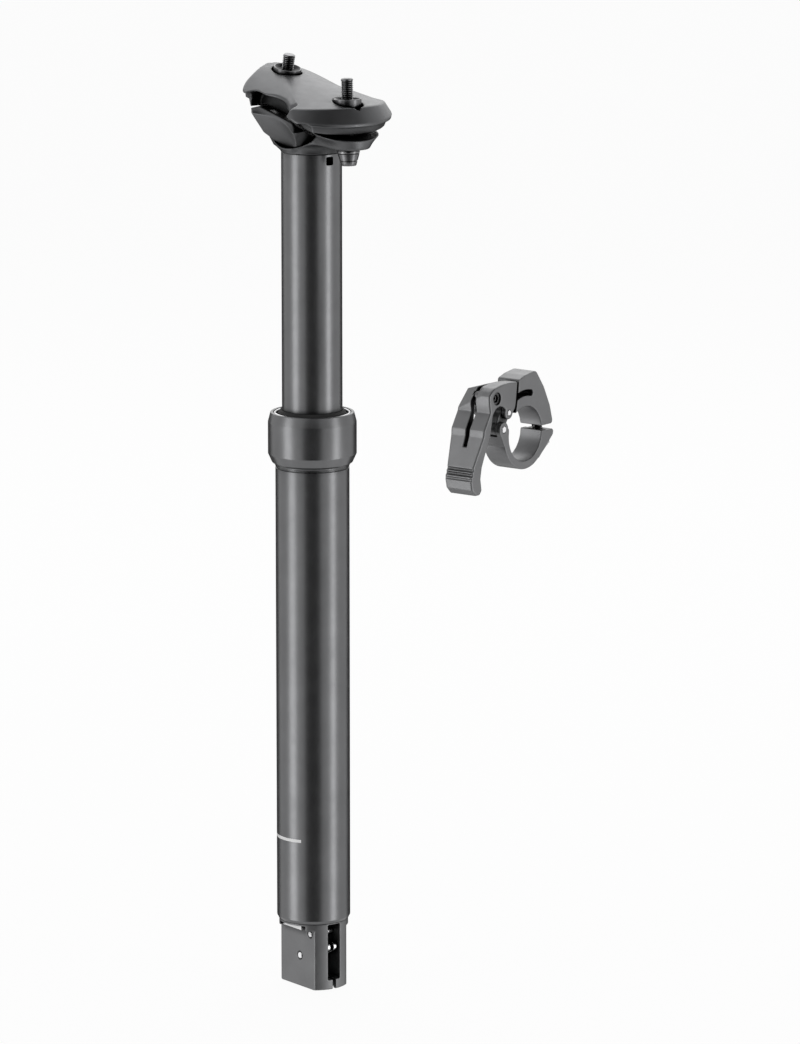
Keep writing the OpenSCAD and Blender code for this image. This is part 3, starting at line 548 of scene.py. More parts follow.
# the saddle clamp, from its side in u (forward), v (left) and w (up) about the tilt axis
clamp = {"axisZ": 159, "tilt": 12.4, "seatR": 25, "front": 25.1, "rear": -17.1, "nutLift": 0.7,
         "railY": 22, "railDepth": 10, "railR": 3.5, "halfWidth": 24, "splitUp": -9.2, "splitDown": -10.8,
         "visorFoot": -10.2, "waist": (4, 31.5, 14), "clear": 0.6}
clampPlace = placed((0, 0, clamp["axisZ"]), clamp["tilt"])
upper = {
    "middle": 8, "crown": 0.6, "fallReach": (-5, 27), "visorFall": (0.0078, 0.005), "lobeFall": 0.0125,
    "brimFall": 0.002,
    "brim": [(-60, -14), (26.9, -14), (27.2, -10.2), (28.1, -6.5), (29.4, -6.2), (29.6, -5.7), (29.3, -4.9),
             (24.8, 0.1), (23.2, 1.6), (-60, 1.6)],
    "tongue": [(-13, 0), (-11, 3.4), (-4.4, 6), (4.4, 11.5), (11.8, 15.8), (17.6, 19.4), (19, 24.4),
               (40, 24.4), (40, -30), (-13, -30)],
    "tongueLean": 0.35, "tongueFoot": -6, "tongueUnder": 1.5,
    "lobe": [(-28.4, 0), (-27, 5.6), (-23.2, 13), (-20, 18.8), (-16, 22.6), (-11, 24), (-6.2, 22.8),
             (-2.8, 20), (0, 18.2), (6, 17.4), (14, 17), (14, -8), (-20, -8)],
    "undercut": 0.45, "footStep": (12, 14),
    "keel": 16.3, "keelAt": -9.4, "keelHalf": 1.9, "dip": 18.2, "dipGap": 0.5,
    "archReach": (-9, 4), "archR": 6.2, "archFrom": 13.5,
}
# each nut's place, and how far its well and its bolt's slot reach from there
wells = {"spots": ((clamp["front"], (0, 1.2), (0, 3.6)), (clamp["rear"], (-0.8, 0.4), (-2.2, 0.8))),
         "seatR": 6.0, "wellR": 6.1, "wellFloor": -2, "slotR": 3.2, "slotTop": -1.9,
         "runOut": 6.4, "runR": 3.4, "runTaper": 0.28, "runFloor": -1.6}


def wellsField(u, v, w):
    # the nuts' round seats with their wells and the bolts' slots
    k, total = wells, None
    for at, wellReach, slotReach in k["spots"]:
        ball = np.sqrt((u - at) ** 2 + v ** 2 + (w - clamp["nutLift"]) ** 2) - k["seatR"]
        reach = np.clip(u, at + wellReach[0], at + wellReach[1])
        well = np.maximum(np.hypot(u - reach, v) - k["wellR"], k["wellFloor"] - w)
        reach = np.clip(u, at + slotReach[0], at + slotReach[1])
        slot = np.maximum(np.hypot(u - reach, v) - k["slotR"], w - k["slotTop"])
        hole = np.minimum(np.minimum(ball, well), slot)
        if at > 0:  # the front well runs out to the rim
            reach = np.clip(u, at, at + k["runOut"])
            run = np.hypot(u - reach, v) - k["runR"] + k["runTaper"] * (reach - at)
            hole = np.minimum(hole, np.maximum(run, k["runFloor"] - w))
        total = hole if total is None else np.minimum(total, hole)
    return total


def upperField(u, v, w):
    p, a = upper, np.abs(v)
    fall = np.interp(u, p["fallReach"], p["visorFall"])
    over = w - (p["crown"] - fall * a * a)
    front = softOutline(p["brim"], np.hypot(u - p["middle"], v), w + p["brimFall"] * a * a, 0.2)
    tongue = softOutline(p["tongue"], u, a, 0.7) + p["tongueLean"] * np.clip(over, -5, 1)
    tongue = tongue + p["tongueUnder"] * np.maximum(p["tongueFoot"] - w, 0)
    front = softMax(front, tongue, 0.8)
    above = w - (p["crown"] - p["lobeFall"] * a * a)
    rear = softOutline(smoothLine(p["lobe"]), u, a, 0.6) + p["undercut"] * np.maximum(-above - 0.8, 0)
    rear = softMax(rear, above, 1.0)
    body = softMax(softMin(front, rear, 4.5), over, 0.45)
    at, out, r = clamp["waist"]
    body = softMax(body, r - np.hypot(u - at, a - out), 1.2)
    body = softMax(body, np.interp(u, p["footStep"], (clamp["splitUp"], clamp["visorFoot"])) - w, 0.5)
    keel = np.maximum(a - p["keel"], np.abs(w - p["keelAt"]) - p["keelHalf"])
    # the rear dips behind the cradle, inside the rails
    behind = u - cradle["rearFrom"]
    foot = clamp["splitDown"] + p["dipGap"] + cradle["rearFall"] * np.minimum(behind, 0)
    dip = np.maximum(softMax(rear, a - p["dip"], 0.6), np.maximum(foot - w, behind))
    inSeat = np.hypot(u, w) - clamp["seatR"] + clamp["clear"]
    body = np.minimum(body, np.maximum(np.minimum(keel, dip), inSeat))
    rail = np.hypot(a - clamp["railY"], w + clamp["railDepth"]) - clamp["railR"]
    body = softMax(body, -rail, 0.35)
    arch = np.hypot(u - np.clip(u, *p["archReach"]), w - clamp["splitDown"]) - p["archR"]
    arch = softMax(arch, p["archFrom"] - a, 1.5)
    body = softMax(body, -arch, 0.8)
    return softMax(body, -wellsField(u, v, w), 0.35)


cradle = {
    "rim": 24.4, "foot": 11, "waist": (5.5, 43.1, 24),
    "flank": [(0, -26), (11.6, -26), (12.6, -24.4), (14.6, -22), (19.6, -16.6), (23.2, -12.6),
              (24.4, -10.8), (0, -10.8), (-24, -10.8), (-12, -26)],
    "plan": [(-25, 11.5), (-22.4, 14), (-14.4, 20), (-9.7, 24), (15, 24), (19.5, 22.4), (21, 20), (20, 16),
             (19.4, 8), (19.4, -20), (-25, -20)],
    "lean": 0.62, "rearFall": 0.5, "rearFrom": -9, "frontFall": 0.5, "frontFrom": 14, "slotR": 3.2,
    "trough": [(16.9, 2), (16.9, -11.6), (8, -16.6), (-8, -16.6), (-16.9, -11.6), (-16.9, 2)],
}


def cradleField(u, v, w):
    a = np.abs(v)
    # the waist draws the flare in, most at the rim and not at the foot
    at, out, r = cradle["waist"]
    rim = np.minimum(out - np.sqrt(np.maximum(r * r - (u - at) ** 2, 0)), cradle["rim"])
    spread = 1 + (cradle["rim"] - rim) / (rim - cradle["foot"] + 0.6)
    wide = np.where(a > cradle["foot"], cradle["foot"] + (a - cradle["foot"]) * spread, a)
    flank = softOutline(cradle["flank"], wide, w, 0.5) / np.sqrt(spread)
    body = softMax(flank, np.hypot(u, w) - clamp["seatR"], 0.4)
    plan = softOutline(cradle["plan"], u, a, 1.2) + cradle["lean"] * np.maximum(clamp["splitDown"] - w, 0)
    body = softMax(body, plan / 1.18, 0.6)
    top = w - clamp["splitDown"] - cradle["rearFall"] * np.minimum(u - cradle["rearFrom"], 0)
    body = softMax(body, top + cradle["frontFall"] * np.maximum(u - cradle["frontFrom"], 0), 0.4)
    body = softMax(body, -outlineDistance(cradle["trough"], a, w), 0.5)
    rail = np.hypot(a - clamp["railY"], w + clamp["railDepth"]) - clamp["railR"]
    body = softMax(body, -rail, 0.3)
    slot = np.hypot(u - np.minimum(u, clamp["rear"] + 1), v) - cradle["slotR"]
    return softMax(body, -slot, 0.4)


# the head: a flared neck, a rear ear, a bowl-shaped front ear and the round seat
head = {"foot": 131.3, "neckR": 12.55, "flare": 2.5, "flareRise": 5.4,
        "bowlX": 26.3, "bowlZ": 136, "bowlFoot": 7, "bowlGrow": 1.45,
        "frontX": 14.8, "frontR": 18.5, "frontGrow": 0.45, "rim": -11.8, "webRootR": 13.2, "webR": 7.4,
        "rearX": -21.36, "rearR": 8.6, "rearRootR": 14.2, "rearTop": 149.1,
        "spigotR": 10.86, "spigotFoot": 117.5, "spigotTop": 133, "rodBore": 4.04, "rodTop": 128.3,
        "window": 1.8, "windowZ": 128.5, "windowFrom": 7.9, "boltHole": 3.1, "boltSpot": 5.4, "seatGap": 0.3}
bolts = {"frontSpot": (24.665, 0, 154.294), "frontLean": -2, "frontSeat": 18.505, "frontAbove": 9.6,
         "rearSpot": (-16.551, 0, 163.356), "rearLean": 12.4, "rearSeat": 22.4, "rearAbove": 6.8,
         "r": 2.5, "pitch": 0.8}


def alongBolt(x, z, spot, lean):
    # place across and along a bolt's axis
    turn = math.radians(lean)
    dx, dz = x - spot[0], z - spot[2]
    return dx * math.cos(turn) - dz * math.sin(turn), dx * math.sin(turn) + dz * math.cos(turn)


def headField(x, y, z):
    h = head
    rise = np.clip((z - h["foot"]) / h["flareRise"], 0, 1.5)
    neck = np.hypot(x, y) - (h["neckR"] + h["flare"] * rise ** 1.5)
    neck = np.maximum(neck, h["foot"] + 0.04 - z)
    reach = np.clip(x / h["rearX"], 0, 1)
    wide = h["rearRootR"] + (h["rearR"] - h["rearRootR"]) * reach
    rear = np.hypot(x - np.minimum(0, np.maximum(x, h["rearX"])), y) - wide
    under = outlineDistance([(-31.4, 145.6), (-28, 142), (-18, 137), (-12, 133.4), (4, 133.4),
                             (4, h["rearTop"]), (-31.4, h["rearTop"])], x, z)
    rear = softMax(rear, under, 1.6)
    up = z - h["bowlZ"]  # the cones below are scaled to be near true distances
    bowl = (np.hypot(x - h["bowlX"], y) - h["bowlFoot"] - h["bowlGrow"] * up) * 0.59
    bowl = softMax(bowl, (np.hypot(x - h["frontX"], y) - h["frontR"] - h["frontGrow"] * up) * 0.91, 2)
    bowl = softMax(bowl, -up, 0.8)
    reach = np.clip(x / h["bowlX"], 0, 1)
    wide = h["webRootR"] + (h["webR"] - h["webRootR"]) * reach
    web = np.hypot(x - np.maximum(0, np.minimum(x, h["bowlX"])), y) - wide
    web = softMax(web, h["bowlZ"] - z, 1.2)
    body = softMin(softMin(neck, rear, 3), softMin(bowl, web, 4), 3)
    turn = math.radians(clamp["tilt"])
    u = x * math.cos(turn) - (z - clamp["axisZ"]) * math.sin(turn)
    w = x * math.sin(turn) + (z - clamp["axisZ"]) * math.cos(turn)
    body = softMax(body, clamp["seatR"] + h["seatGap"] - np.hypot(x, z - clamp["axisZ"]), 0.35)
    body = softMax(body, np.minimum(w - h["rim"], u + 2), 0.4)
    spigot = np.maximum(np.hypot(x, y) - h["spigotR"], between(z, h["spigotFoot"], h["spigotTop"]))
    body = np.minimum(body, spigot)
    bore = np.maximum(np.hypot(x, y) - h["rodBore"], z - h["rodTop"])
    window = np.maximum(np.abs(y) - h["window"], np.abs(z - h["windowZ"]) - h["window"])
    window = np.maximum(window, h["windowFrom"] - x)
    body = np.maximum(body, -np.minimum(bore, window))
    across, along = alongBolt(x, z, bolts["frontSpot"], bolts["frontLean"])
    hole = np.maximum(np.hypot(across, y) - h["boltHole"], 10 - x)
    across, along = alongBolt(x, z, bolts["rearSpot"], bolts["rearLean"])
    hole = np.minimum(hole, np.maximum(np.hypot(across, y) - h["boltHole"], x + 10))
    spot = np.maximum(np.hypot(across, y) - h["boltSpot"], along + bolts["rearSeat"])
    return softMax(body, -np.minimum(hole, spot), 0.3)


def makeClamp():
    mesh = skin("upperClamp", upperField, (-30, -26, -13), (40, 26, 2.4), 0.34, clampPlace)
    addPiece("upperClamp", mesh, "forgedBlack", "saddle_clamp", "upper_clamp")
    mesh = skin("lowerCradle", cradleField, (-26, -26.5, -26), (26, 26.5, -10), 0.4, clampPlace)
    addPiece("lowerCradle", mesh, "cradleBlack", "saddle_clamp", "lower_cradle")
    mesh = skin("seatHead", headField, (-32, -16, 117), (42, 16, 151), 0.42)
    addPiece("seatHead", mesh, "forgedBlack", "inner_post", "seat_head")


makeClamp()
print("saddle clamp made")


def spun(name, rows, segments, place=None, sharp=35):
    # a closed turned form, whose rows of radius and height may vary round the axis
    angle = np.linspace(0, 2 * math.pi, segments, endpoint=False)
    pts = []
    for radius, height in rows:
        r, h = np.broadcast_to(radius, angle.shape), np.broadcast_to(height, angle.shape)
        pts.append(np.stack([r * np.cos(angle), r * np.sin(angle), h], 1))
    count = len(rows)
    faces = [(i * segments + j, i * segments + (j + 1) % segments, (i + 1) * segments + (j + 1) % segments,
              (i + 1) * segments + j) for i in range(count - 1) for j in range(segments)]
    mesh = bpy.data.meshes.new(name)
    mesh.from_pydata((np.concatenate(pts) * mm).tolist(), [], faces)
    tidyMesh(mesh)
    if place is not None:
        mesh.transform(place)
    mesh.shade_smooth()
    mesh.set_sharp_from_angle(angle=math.radians(sharp))
    return mesh


def hexRadius(size, segments):
    # distance to a hexagon's side at each angle, for a given half width across the corners
    angle = np.linspace(0, 2 * math.pi, segments, endpoint=False)
    return size * math.cos(math.pi / 6) / np.cos(np.mod(angle, math.pi / 3) - math.pi / 6)


def threadRows(radius, low, high, pitch, segments, steps=9):
    # a screw thread between two heights that runs out at both ends
    angle = np.linspace(0, 2 * math.pi, segments, endpoint=False) / (2 * math.pi)
    rows = []
    for height in np.arange(low, high + 1e-6, pitch / steps):
        phase = np.mod(height / pitch - angle, 1)
        depth = np.clip(1.2 - 3.4 * np.abs(phase - 0.5), 0, 1) * 0.55 * pitch
        fade = np.clip(min(height - low, high - height) / pitch, 0, 1)
        rows.append((radius - depth * fade, height))
    return rows


washer = {"gap": 0.25, "bore": 2.54, "r": 4.6, "thick": 1.1, "step": 1.12}
nut = {"r": 5.8, "bore": 2.9, "foot": -4}


def makeSaddleBolt(name, place, seat, above, body, node):
    top, r, n = -seat - washer["gap"] - 2.2 - 0.08, bolts["r"], 60
    foot = top - 5.2
    socket = hexRadius(2.1, n)
    rows = [(0, foot + 3), (socket, foot + 3), (socket, foot + 0.2), (socket + 0.2, foot), (2.85, foot),
            (3.1, foot + 0.25), (3.55, foot + 1.75), (3.42, foot + 1.9), (3.42, foot + 2.1),
            (3.7, foot + 2.25), (4.5, top - 0.3), (4.35, top), (r, top)]
    rows += threadRows(r, -7, above - 0.5, bolts["pitch"], n)
    rows += [(r, above - 0.35), (r - 0.45, above), (0, above)]
    addPiece(name, spun(name, rows, n, place), "boltSteel", body, node)


def makeWashers(name, place, seat, body, node):
    # two rings joined as one piece
    parts = []
    for step in (1, 2):
        z = -seat - washer["gap"] - step * washer["step"] + 0.02
        top, r, bore = z + washer["thick"], washer["r"], washer["bore"]
        ring = rounded([(bore, z), (r, z), (r, top), (bore, top)], 0.22, 4)
        parts.append(lathe(name + str(step), ring, 72, place))
    work = bmesh.new()
    for part in parts:
        work.from_mesh(part)
    mesh = bpy.data.meshes.new(name)
    work.to_mesh(mesh)
    work.free()
    addPiece(name, mesh, "washerSteel", body, node)


def makeNut(name, place, body, node):
    r, bore, foot = nut["r"], nut["bore"], nut["foot"]
    ball = [(r * math.cos(a), r * math.sin(a)) for a in np.linspace(math.asin(foot / r), 0, 12)]
    dish = [(r, 0.9), (5.7, 1.2), (5.5, 1.3), (5.3, 1.22), (5.1, 0.9), (4.4, 0.1), (3.4, -0.5), (bore, -0.6)]
    rows = [(bore, foot)] + ball + dish + [(bore, foot)]
    addPiece(name, spun(name, rows, 72, place), "nutSteel", body, node)


def makeFasteners():
    front, rear = placed(bolts["frontSpot"], bolts["frontLean"]), placed(bolts["rearSpot"], bolts["rearLean"])
    makeSaddleBolt("frontBolt", front, bolts["frontSeat"], bolts["frontAbove"], "front_bolt", "front_bolt")
    makeSaddleBolt("rearBolt", rear, bolts["rearSeat"], bolts["rearAbove"], "inner_post", "rear_bolt")
    makeWashers("frontWashers", front, bolts["frontSeat"], "front_bolt", "front_washers")
    makeWashers("rearWashers", rear, bolts["rearSeat"], "inner_post", "rear_washers")
    makeNut("frontNut", front, "front_nut", "front_nut")
    makeNut("rearNut", rear, "rear_nut", "rear_nut")


makeFasteners()
print("bolts, washers and nuts made")

# the tail below the outer tube, with its flats, window, keys and pins
tail = {"top": -194.54, "foot": -223.3, "r": 14.55, "flat": 8.4, "shoulder": 3, "slit": 0.75,
        "window": 3.1, "windowTop": -195.1, "windowFoot": -219.1, "windowBack": -6,
        "pin": (1.3, -210), "pinHole": 1.44, "pinRim": 1.9,
        "cross": (8.5, -199.4), "crossHole": 1.34, "crossRim": 1.75, "rimDepth": 0.35,
        "keyAt": -1.25, "keyHalf": 7.75, "keyDrop": 2.2, "keyHigh": 1.25, "spigotR": 13.81, "spigotRise": 9,
        "ferruleX": 10.5, "ferruleR": 2.3, "valveBore": 1.58, "cylinderBore": 9.84, "cylinderFloor": 5.64}


def tailField(x, y, z):
    t, a = tail, np.abs(y)
    ring = np.hypot(x, y)
    body = softMax(softMax(ring - t["r"], z - t["top"], 0.3), t["foot"] - z, 0.7)
    flat = np.maximum(t["flat"] - a, z - (t["top"] - t["shoulder"] + 0.04))
    body = softMax(body, -flat, 0.3)
    side = np.where(y > 0, x, -x)
    level = np.abs(z - (t["top"] - t["keyDrop"])) - t["keyHigh"]
    keySlot = np.maximum(np.maximum(np.abs(side - t["keyAt"]) - t["keyHalf"], level), t["flat"] - a)
    body = softMax(body, -keySlot, 0.15)
    spigot = np.maximum(z - t["top"] - t["spigotRise"], t["top"] - 1 - z)
    body = np.minimum(body, softMax(ring - t["spigotR"], spigot, 0.3))
    window = np.maximum(between(z, t["windowFoot"], t["windowTop"]), t["windowBack"] - x)
    window = softMax(a - t["window"], window, 0.5)
    slit = np.maximum(np.maximum(a - t["slit"], z - t["windowFoot"] - 1), -x)
    ferrule = np.maximum(np.hypot(x - t["ferruleX"], y) - t["ferruleR"], z - t["foot"] - 2)
    pin, cross = ringRound(t["pin"], x, z), ringRound(t["cross"], x, z)
    rims = np.minimum(pin - t["pinRim"], cross - t["crossRim"])
    holes = np.minimum(pin - t["pinHole"], cross - t["crossHole"])
    holes = np.minimum(holes, np.maximum(rims, t["flat"] - t["rimDepth"] - a))
    bore = np.minimum(np.maximum(ring - t["valveBore"], t["windowTop"] - 1 - z),
                      np.maximum(ring - t["cylinderBore"], t["top"] + t["cylinderFloor"] - z))
    cut = np.minimum(np.minimum(slit, ferrule), np.minimum(holes, bore))
    body = softMax(body, -window, 0.25)
    return softMax(body, -cut, 0.2)


def alongY(spot):
    # a frame at a point of X and Z that turns its own Z along Y
    return Matrix.Translation(Vector((spot[0], 0, spot[1])) * mm) @ Matrix.Rotation(-math.pi / 2, 4, "X")


def rodAlong(name, radius, spot, low, high, ease):
    # a pin with eased ends that lies along Y
    rows = [(0, low), (radius - ease, low), (radius, low + ease),
            (radius, high - ease), (radius - ease, high), (0, high)]
    return spun(name, rows, 48, alongY(spot))


rocker = {"half": 2.45, "hubR": 3.2, "pinBore": 1.48, "gap": 0.85, "gapFrom": 4.6,
          "fork": (10, 4.5, 1.75), "nose": (-3.7, 2.6, 2.1)}


def rockerField(x, y, z):
    r, x, z = rocker, x - tail["pin"][0], z - tail["pin"][1]
    hub = np.hypot(x, z) - r["hubR"]
    fork, nose = (ringRound(r[end], x, z) - r[end][2] for end in ("fork", "nose"))
    arm = outlineDistance([(0, 3), (9.4, 6), (10.7, 3), (1.4, -2.7)], x, z)
    back = outlineDistance([(0, 3), (-3.7, 4.6), (-4.9, 1), (-1.4, -2.7)], x, z)
    side = softMin(softMin(hub, arm, 0.8), softMin(fork, np.minimum(nose, back), 0.4), 0.4)
    body = softMax(side, np.abs(y) - r["half"], 0.35)
    gap = np.maximum(np.abs(y) - r["gap"], r["gapFrom"] - x)
    return softMax(body, -np.minimum(gap, np.hypot(x, z) - r["pinBore"]), 0.2)


def makeTail():
    mesh = skin("tailHousing", tailField, (-15.4, -15.4, -224), (15.4, 15.4, -185), 0.32)
    addPiece("tailHousing", mesh, "tailGrey", "outer_post", "actuator_housing")
    mesh = skin("rockerLever", rockerField, (-6, -3, -214), (14, 3, -203), 0.2)
    addPiece("rockerLever", mesh, "brightSteel", "rocker", "actuator_lever")
    half = tail["flat"]
    mesh = rodAlong("leverPin", 1.4, tail["pin"], -half, half, 0.25)
    addPiece("leverPin", mesh, "brightSteel", "outer_post", "lever_pin")
    mesh = rodAlong("crossPin", 1.3, tail["cross"], -half, half, 0.25)
    addPiece("crossPin", mesh, "brightSteel", "outer_post", "cross_pin")


makeTail()
print("tail made")

# the handlebar lever, from m across the bar, y along it and z up from its axis
remote = {
    "spot": (135, 0, 33), "turn": 105.5, "barR": 11.1, "half": 5.3, "strapR": 14.3, "near": -5.3, "far": 11.2,
    "strapPin": (-14.4, 3.7), "strapEye": 2.9, "strapHole": 1.39, "lugHalf": 3,
    "thumbPin": (-11, 10), "thumbEye": 2.7, "thumbHole": 1.19, "lugFar": 8.9,
    "boltSpot": (15, 0, 0.7), "boltTurn": -20,
    "arcR": 16.45, "arcHalf": 1.25, "arcEnd": 1.3, "arcFrom": 77,
    "clampSide": [(0, 1.6), (18.1, 1.6), (18.6, 3), (16.8, 9.2), (12.7, 17.2), (7.6, 24), (6.4, 24.5),
                  (0, 23.6), (-4.4, 22.2), (-5.4, 13.8), (-6.6, 8.6)],
    "strapLug": [(9, -0.6), (18.6, -0.6), (19.2, -1.4), (19, -2.8), (14.1, -7.4), (9.4, -10.9), (6, -8)],
    "strapNeck": [(-17.2, 2.9), (-14.2, -3), (-10.5, -3), (-11, 3.6)],
    "knuckle": [(-3, 10.1), (-4, 14.4), (-6.4, 15.9), (-11.3, 13), (-14.9, 8.6)],
    "leverSide": [(-5.2, 21.6), (-9.5, 22.3), (-14, 22.2), (-20.4, 21), (-23, 19.9), (-24.2, 18.2),
                  (-24, 14.5), (-23.4, 11.5), (-27.6, 4.8), (-27.9, 2.3), (-32.6, -9.4), (-34.2, -14),
                  (-33.2, -18.4), (-30.6, -20.9), (-28, -20.9), (-26.6, -19.2), (-27.4, -14.4), (-26.4, -9.4),
                  (-25, -4), (-23.6, 0.6), (-21.6, 10.4), (-19.6, 12.6), (-17, 13.3), (-15, 12.8),
                  (-13.2, 11.6), (-11, 8), (-8.4, 9.5), (-6.8, 11.2), (-6.2, 13.4)],
    "pocket": [(-2, 19.4), (-14, 19.8), (-19.4, 18.6), (-21.6, 17.4), (-21.4, 13), (-20.4, 4), (-2, 4)],
    "grooves": [(-32.98, -10.4), (-33.56, -12.2), (-34.22, -14.1)], "grooveR": 0.7,
    "slopeAt": 30.2, "slopeRate": 0.41, "topAt": 22.4, "topRate": 0.28, "tipInset": 1.75,
    "cheek": 2, "roof": 2, "slot": 0.85, "slotGrow": 0.4, "slotFoot": 1.8, "slitFoot": -2,
    "barrel": (-19.1, 16.7), "barrelR": 2.5, "barrelEnd": 4.4, "barrelFloor": 1.9,
}
remotePlace = Matrix.Rotation(math.radians(remote["turn"]), 4, "Z")
remotePlace = Matrix.Translation(Vector(remote["spot"]) * mm) @ remotePlace


def clampField(m, y, z):
    r = remote
    body = softMax(softOutline(r["clampSide"], m, z, 0.5), np.abs(y) - r["half"], 0.5)
    ring, angle = np.hypot(m, z), np.degrees(np.arctan2(z, m))
    arc = np.where((angle > r["arcFrom"]) & (z > 0), np.abs(ring - r["arcR"]) - r["arcHalf"], 9.0)
    turn = math.radians(r["arcFrom"])
    end = ringRound((r["arcR"] * math.cos(turn), r["arcR"] * math.sin(turn)), m, z) - r["arcEnd"]
    body = softMax(body, -np.minimum(arc, end), 0.25)
    thumb, strap = ringRound(r["thumbPin"], m, z), ringRound(r["strapPin"], m, z)
    lug = outlineDistance(r["knuckle"] + [(-9.4, 5.4)], m, z)
    lug = np.minimum(lug, thumb - r["thumbEye"])
    body = np.minimum(body, softMax(lug, between(y, -r["lugHalf"], r["lugFar"]), 0.3))
    lug = outlineDistance(r["knuckle"] + [(-15.9, 6.4), (-10, 4.1)], m, z)
    lug = np.minimum(lug, strap - r["strapEye"])
    body = np.minimum(body, softMax(lug, np.abs(y) - r["lugHalf"], 0.3))
    body = softMax(body, r["barR"] - ring, 0.3)
    body = np.maximum(body, -np.maximum(ring - 11.9, r["half"] - y))
    across, along = alongBolt(m, z, r["boltSpot"], r["boltTurn"])
    screw = np.maximum(np.hypot(across, y) - 2.04, along - 9.6)
    pins = np.minimum(thumb - r["thumbHole"], strap - r["strapHole"])
    return softMax(body, -np.minimum(screw, pins), 0.2)


def strapField(m, y, z):
    r = remote
    ring = np.hypot(m, z)
    band = np.maximum(ring - r["strapR"], z)
    lug, neck = outlineDistance(r["strapLug"], m, z), outlineDistance(r["strapNeck"], m, z)
    pin = ringRound(r["strapPin"], m, z)
    side = softMin(softMin(band, lug, 1.0), softMin(pin - r["strapEye"], neck, 0.6), 0.6)
    body = softMax(side, np.abs(y) - r["half"], 0.45)
    body = softMax(body, np.where(m > 0, z + 0.2, -9.0), 0.4)
    body = softMax(body, r["barR"] - ring, 0.3)
    reach = r["strapEye"] + 0.3
    above = np.maximum(np.abs(m - r["strapPin"][0]) - reach, r["strapPin"][1] - z)
    slot = np.maximum(np.minimum(pin - reach, above), np.abs(y) - r["lugHalf"] - 0.15)
    across, along = alongBolt(m, z, r["boltSpot"], r["boltTurn"])
    screw = np.minimum(np.hypot(across, y) - 2.25, np.maximum(np.hypot(across, y) - 3.8, along + 4.6))
    screw = np.maximum(screw, -m)
    return softMax(body, -np.minimum(np.minimum(slot, screw), pin - r["strapHole"]), 0.2)


def thumbField(m, y, z):
    r = remote
    middle, halfWide = (r["near"] + r["far"]) / 2, (r["far"] - r["near"]) / 2
    side = softOutline(r["leverSide"], m, z, 0.3)
    pin = ringRound(r["thumbPin"], m, z)
    side = softMin(side, pin - r["thumbEye"], 0.5)
    # the far half of the top and front slopes away
    past = np.maximum(y + 1, 0)
    slope = np.maximum((z - m) * 0.707 - r["slopeAt"] + r["slopeRate"] * past,
                       z - r["topAt"] + r["topRate"] * past)
    wide = halfWide - r["tipInset"] * np.clip((3 - z) / 13, 0, 1)
    a = np.abs(y - middle)
    body = softMax(softMax(side, a - wide, 0.9), slope, 0.8)
    pocket = np.maximum(outlineDistance(r["pocket"], m, z), slope + r["roof"])
    body = softMax(body, -np.maximum(pocket, a - halfWide + r["cheek"]), 0.4)
    taper = r["slot"] + r["slotGrow"] * np.clip((z - 2) / 14, 0, 1)
    slot = np.minimum(np.maximum(a - taper, r["slotFoot"] - z), np.maximum(a - 0.84, r["slitFoot"] - z))
    slot = np.maximum(slot, m + 2)
    body = softMax(body, -slot, 0.25)
    for spot in r["grooves"]:
        body = softMax(body, r["grooveR"] - ringRound(spot, m, z), 0.2)
    barrel = ringRound(r["barrel"], m, z) - r["barrelR"] - 0.04
    holes = np.minimum(pin - 1.23, np.maximum(barrel, y - r["barrelEnd"] - 0.6))
    return softMax(body, -holes, 0.25)


def remotePin(name, radius, low, high):
    mesh = rodAlong(name, radius, remote[name], low, high, 0.2)
    mesh.transform(remotePlace)
    return mesh


def makeBarrel():
    # the cable's round anchor, hollow at one end for its screw
    low, high, floor, r = remote["near"] + 0.7, remote["barrelEnd"], remote["barrelFloor"], remote["barrelR"]
    rows = [(0, floor), (1.54, floor), (1.54, low + 0.2), (1.75, low), (r - 0.2, low), (r, low + 0.2),
            (r, high - 0.2), (r - 0.2, high), (0, high)]
    place = remotePlace @ alongY(remote["barrel"])
    mesh = spun("cableBarrel", rows, 48, place)
    addPiece("cableBarrel", mesh, "boltSteel", "thumb", "cable_barrel")
    socket = hexRadius(0.85, 48)
    rows = [(0, -1.4), (socket, -1.4), (socket, -3.6), (1.25, -3.7), (1.5, -3.45), (1.5, 1.6), (1.3, 1.74),
            (0, 1.74)]
    mesh = spun("barrelScrew", rows, 48, place)
    addPiece("barrelScrew", mesh, "boltSteel", "thumb", "barrel_screw")


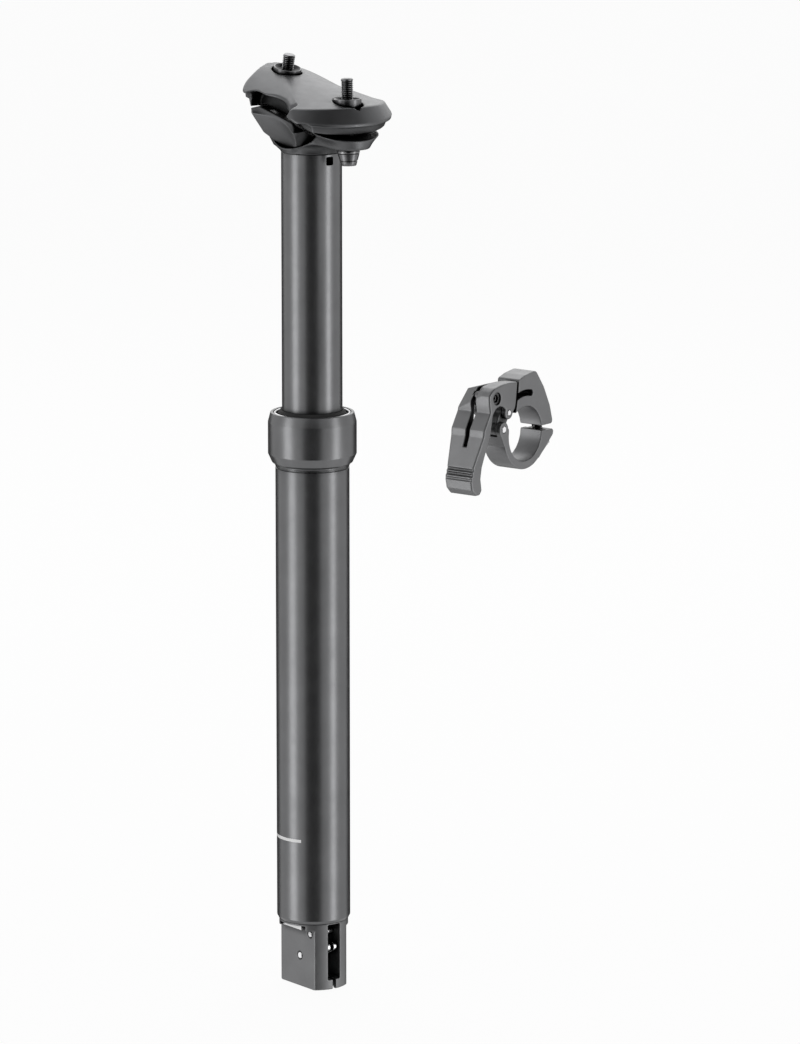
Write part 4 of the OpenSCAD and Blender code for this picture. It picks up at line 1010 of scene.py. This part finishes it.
def makeStrapBolt():
    n, foot = 48, -4.64
    socket = hexRadius(1.75, n)
    rows = [(0, foot - 2), (socket, foot - 2), (socket, foot - 3.8), (socket + 0.2, foot - 4),
            (3.1, foot - 4), (3.5, foot - 3.6), (3.5, foot - 0.3), (3.3, foot), (2, foot)]
    rows += threadRows(2, -3.4, 8.5, 0.7, n) + [(2, 8.6), (1.6, 9), (0, 9)]
    place = remotePlace @ placed(remote["boltSpot"], remote["boltTurn"])
    mesh = spun("strapBolt", rows, n, place)
    addPiece("strapBolt", mesh, "brightSteel", "outer_post", "strap_bolt")


def makeRemote():
    mesh = skin("barClamp", clampField, (-18.5, -6.2, 0), (19.6, 9.6, 25.4), 0.32, remotePlace)
    addPiece("barClamp", mesh, "leverGrey", "outer_post", "bar_clamp")
    mesh = skin("barStrap", strapField, (-18.5, -6.2, -15.4), (20.2, 6.2, 7.2), 0.32, remotePlace)
    addPiece("barStrap", mesh, "leverGrey", "outer_post", "bar_strap")
    mesh = skin("thumbLever", thumbField, (-35.5, -6.2, -22), (-4, 12.2, 23.4), 0.32, remotePlace)
    addPiece("thumbLever", mesh, "leverGrey", "thumb", "thumb_lever")
    mesh = remotePin("thumbPin", 1.15, -5.4, 11.3)
    addPiece("thumbPin", mesh, "brightSteel", "outer_post", "thumb_pin")
    mesh = remotePin("strapPin", 1.35, -5.4, 5.4)
    addPiece("strapPin", mesh, "brightSteel", "outer_post", "strap_pin")
    makeBarrel()
    makeStrapBolt()


makeRemote()
print("handlebar lever made")


def finishNodes():
    # the pieces inside the post keep their solids
    kinds = {
        "bronze": ("upper_bushing", "lower_bushing", "guide_keys", "piston"),
        "cylinderSteel": ("gas_cylinder", "cylinder_foot", "rod_gland", "piston_rod", "piston_nut",
                          "valve_pin"),
        "rubber": ("piston_ring",),
        "brightSteel": ("housing_keys",),
    }
    for kind, names in kinds.items():
        for name in names:
            slots = nodes[name].data.materials
            slots.clear()
            slots.append(finish(kind))


finishNodes()

print("scene ready")
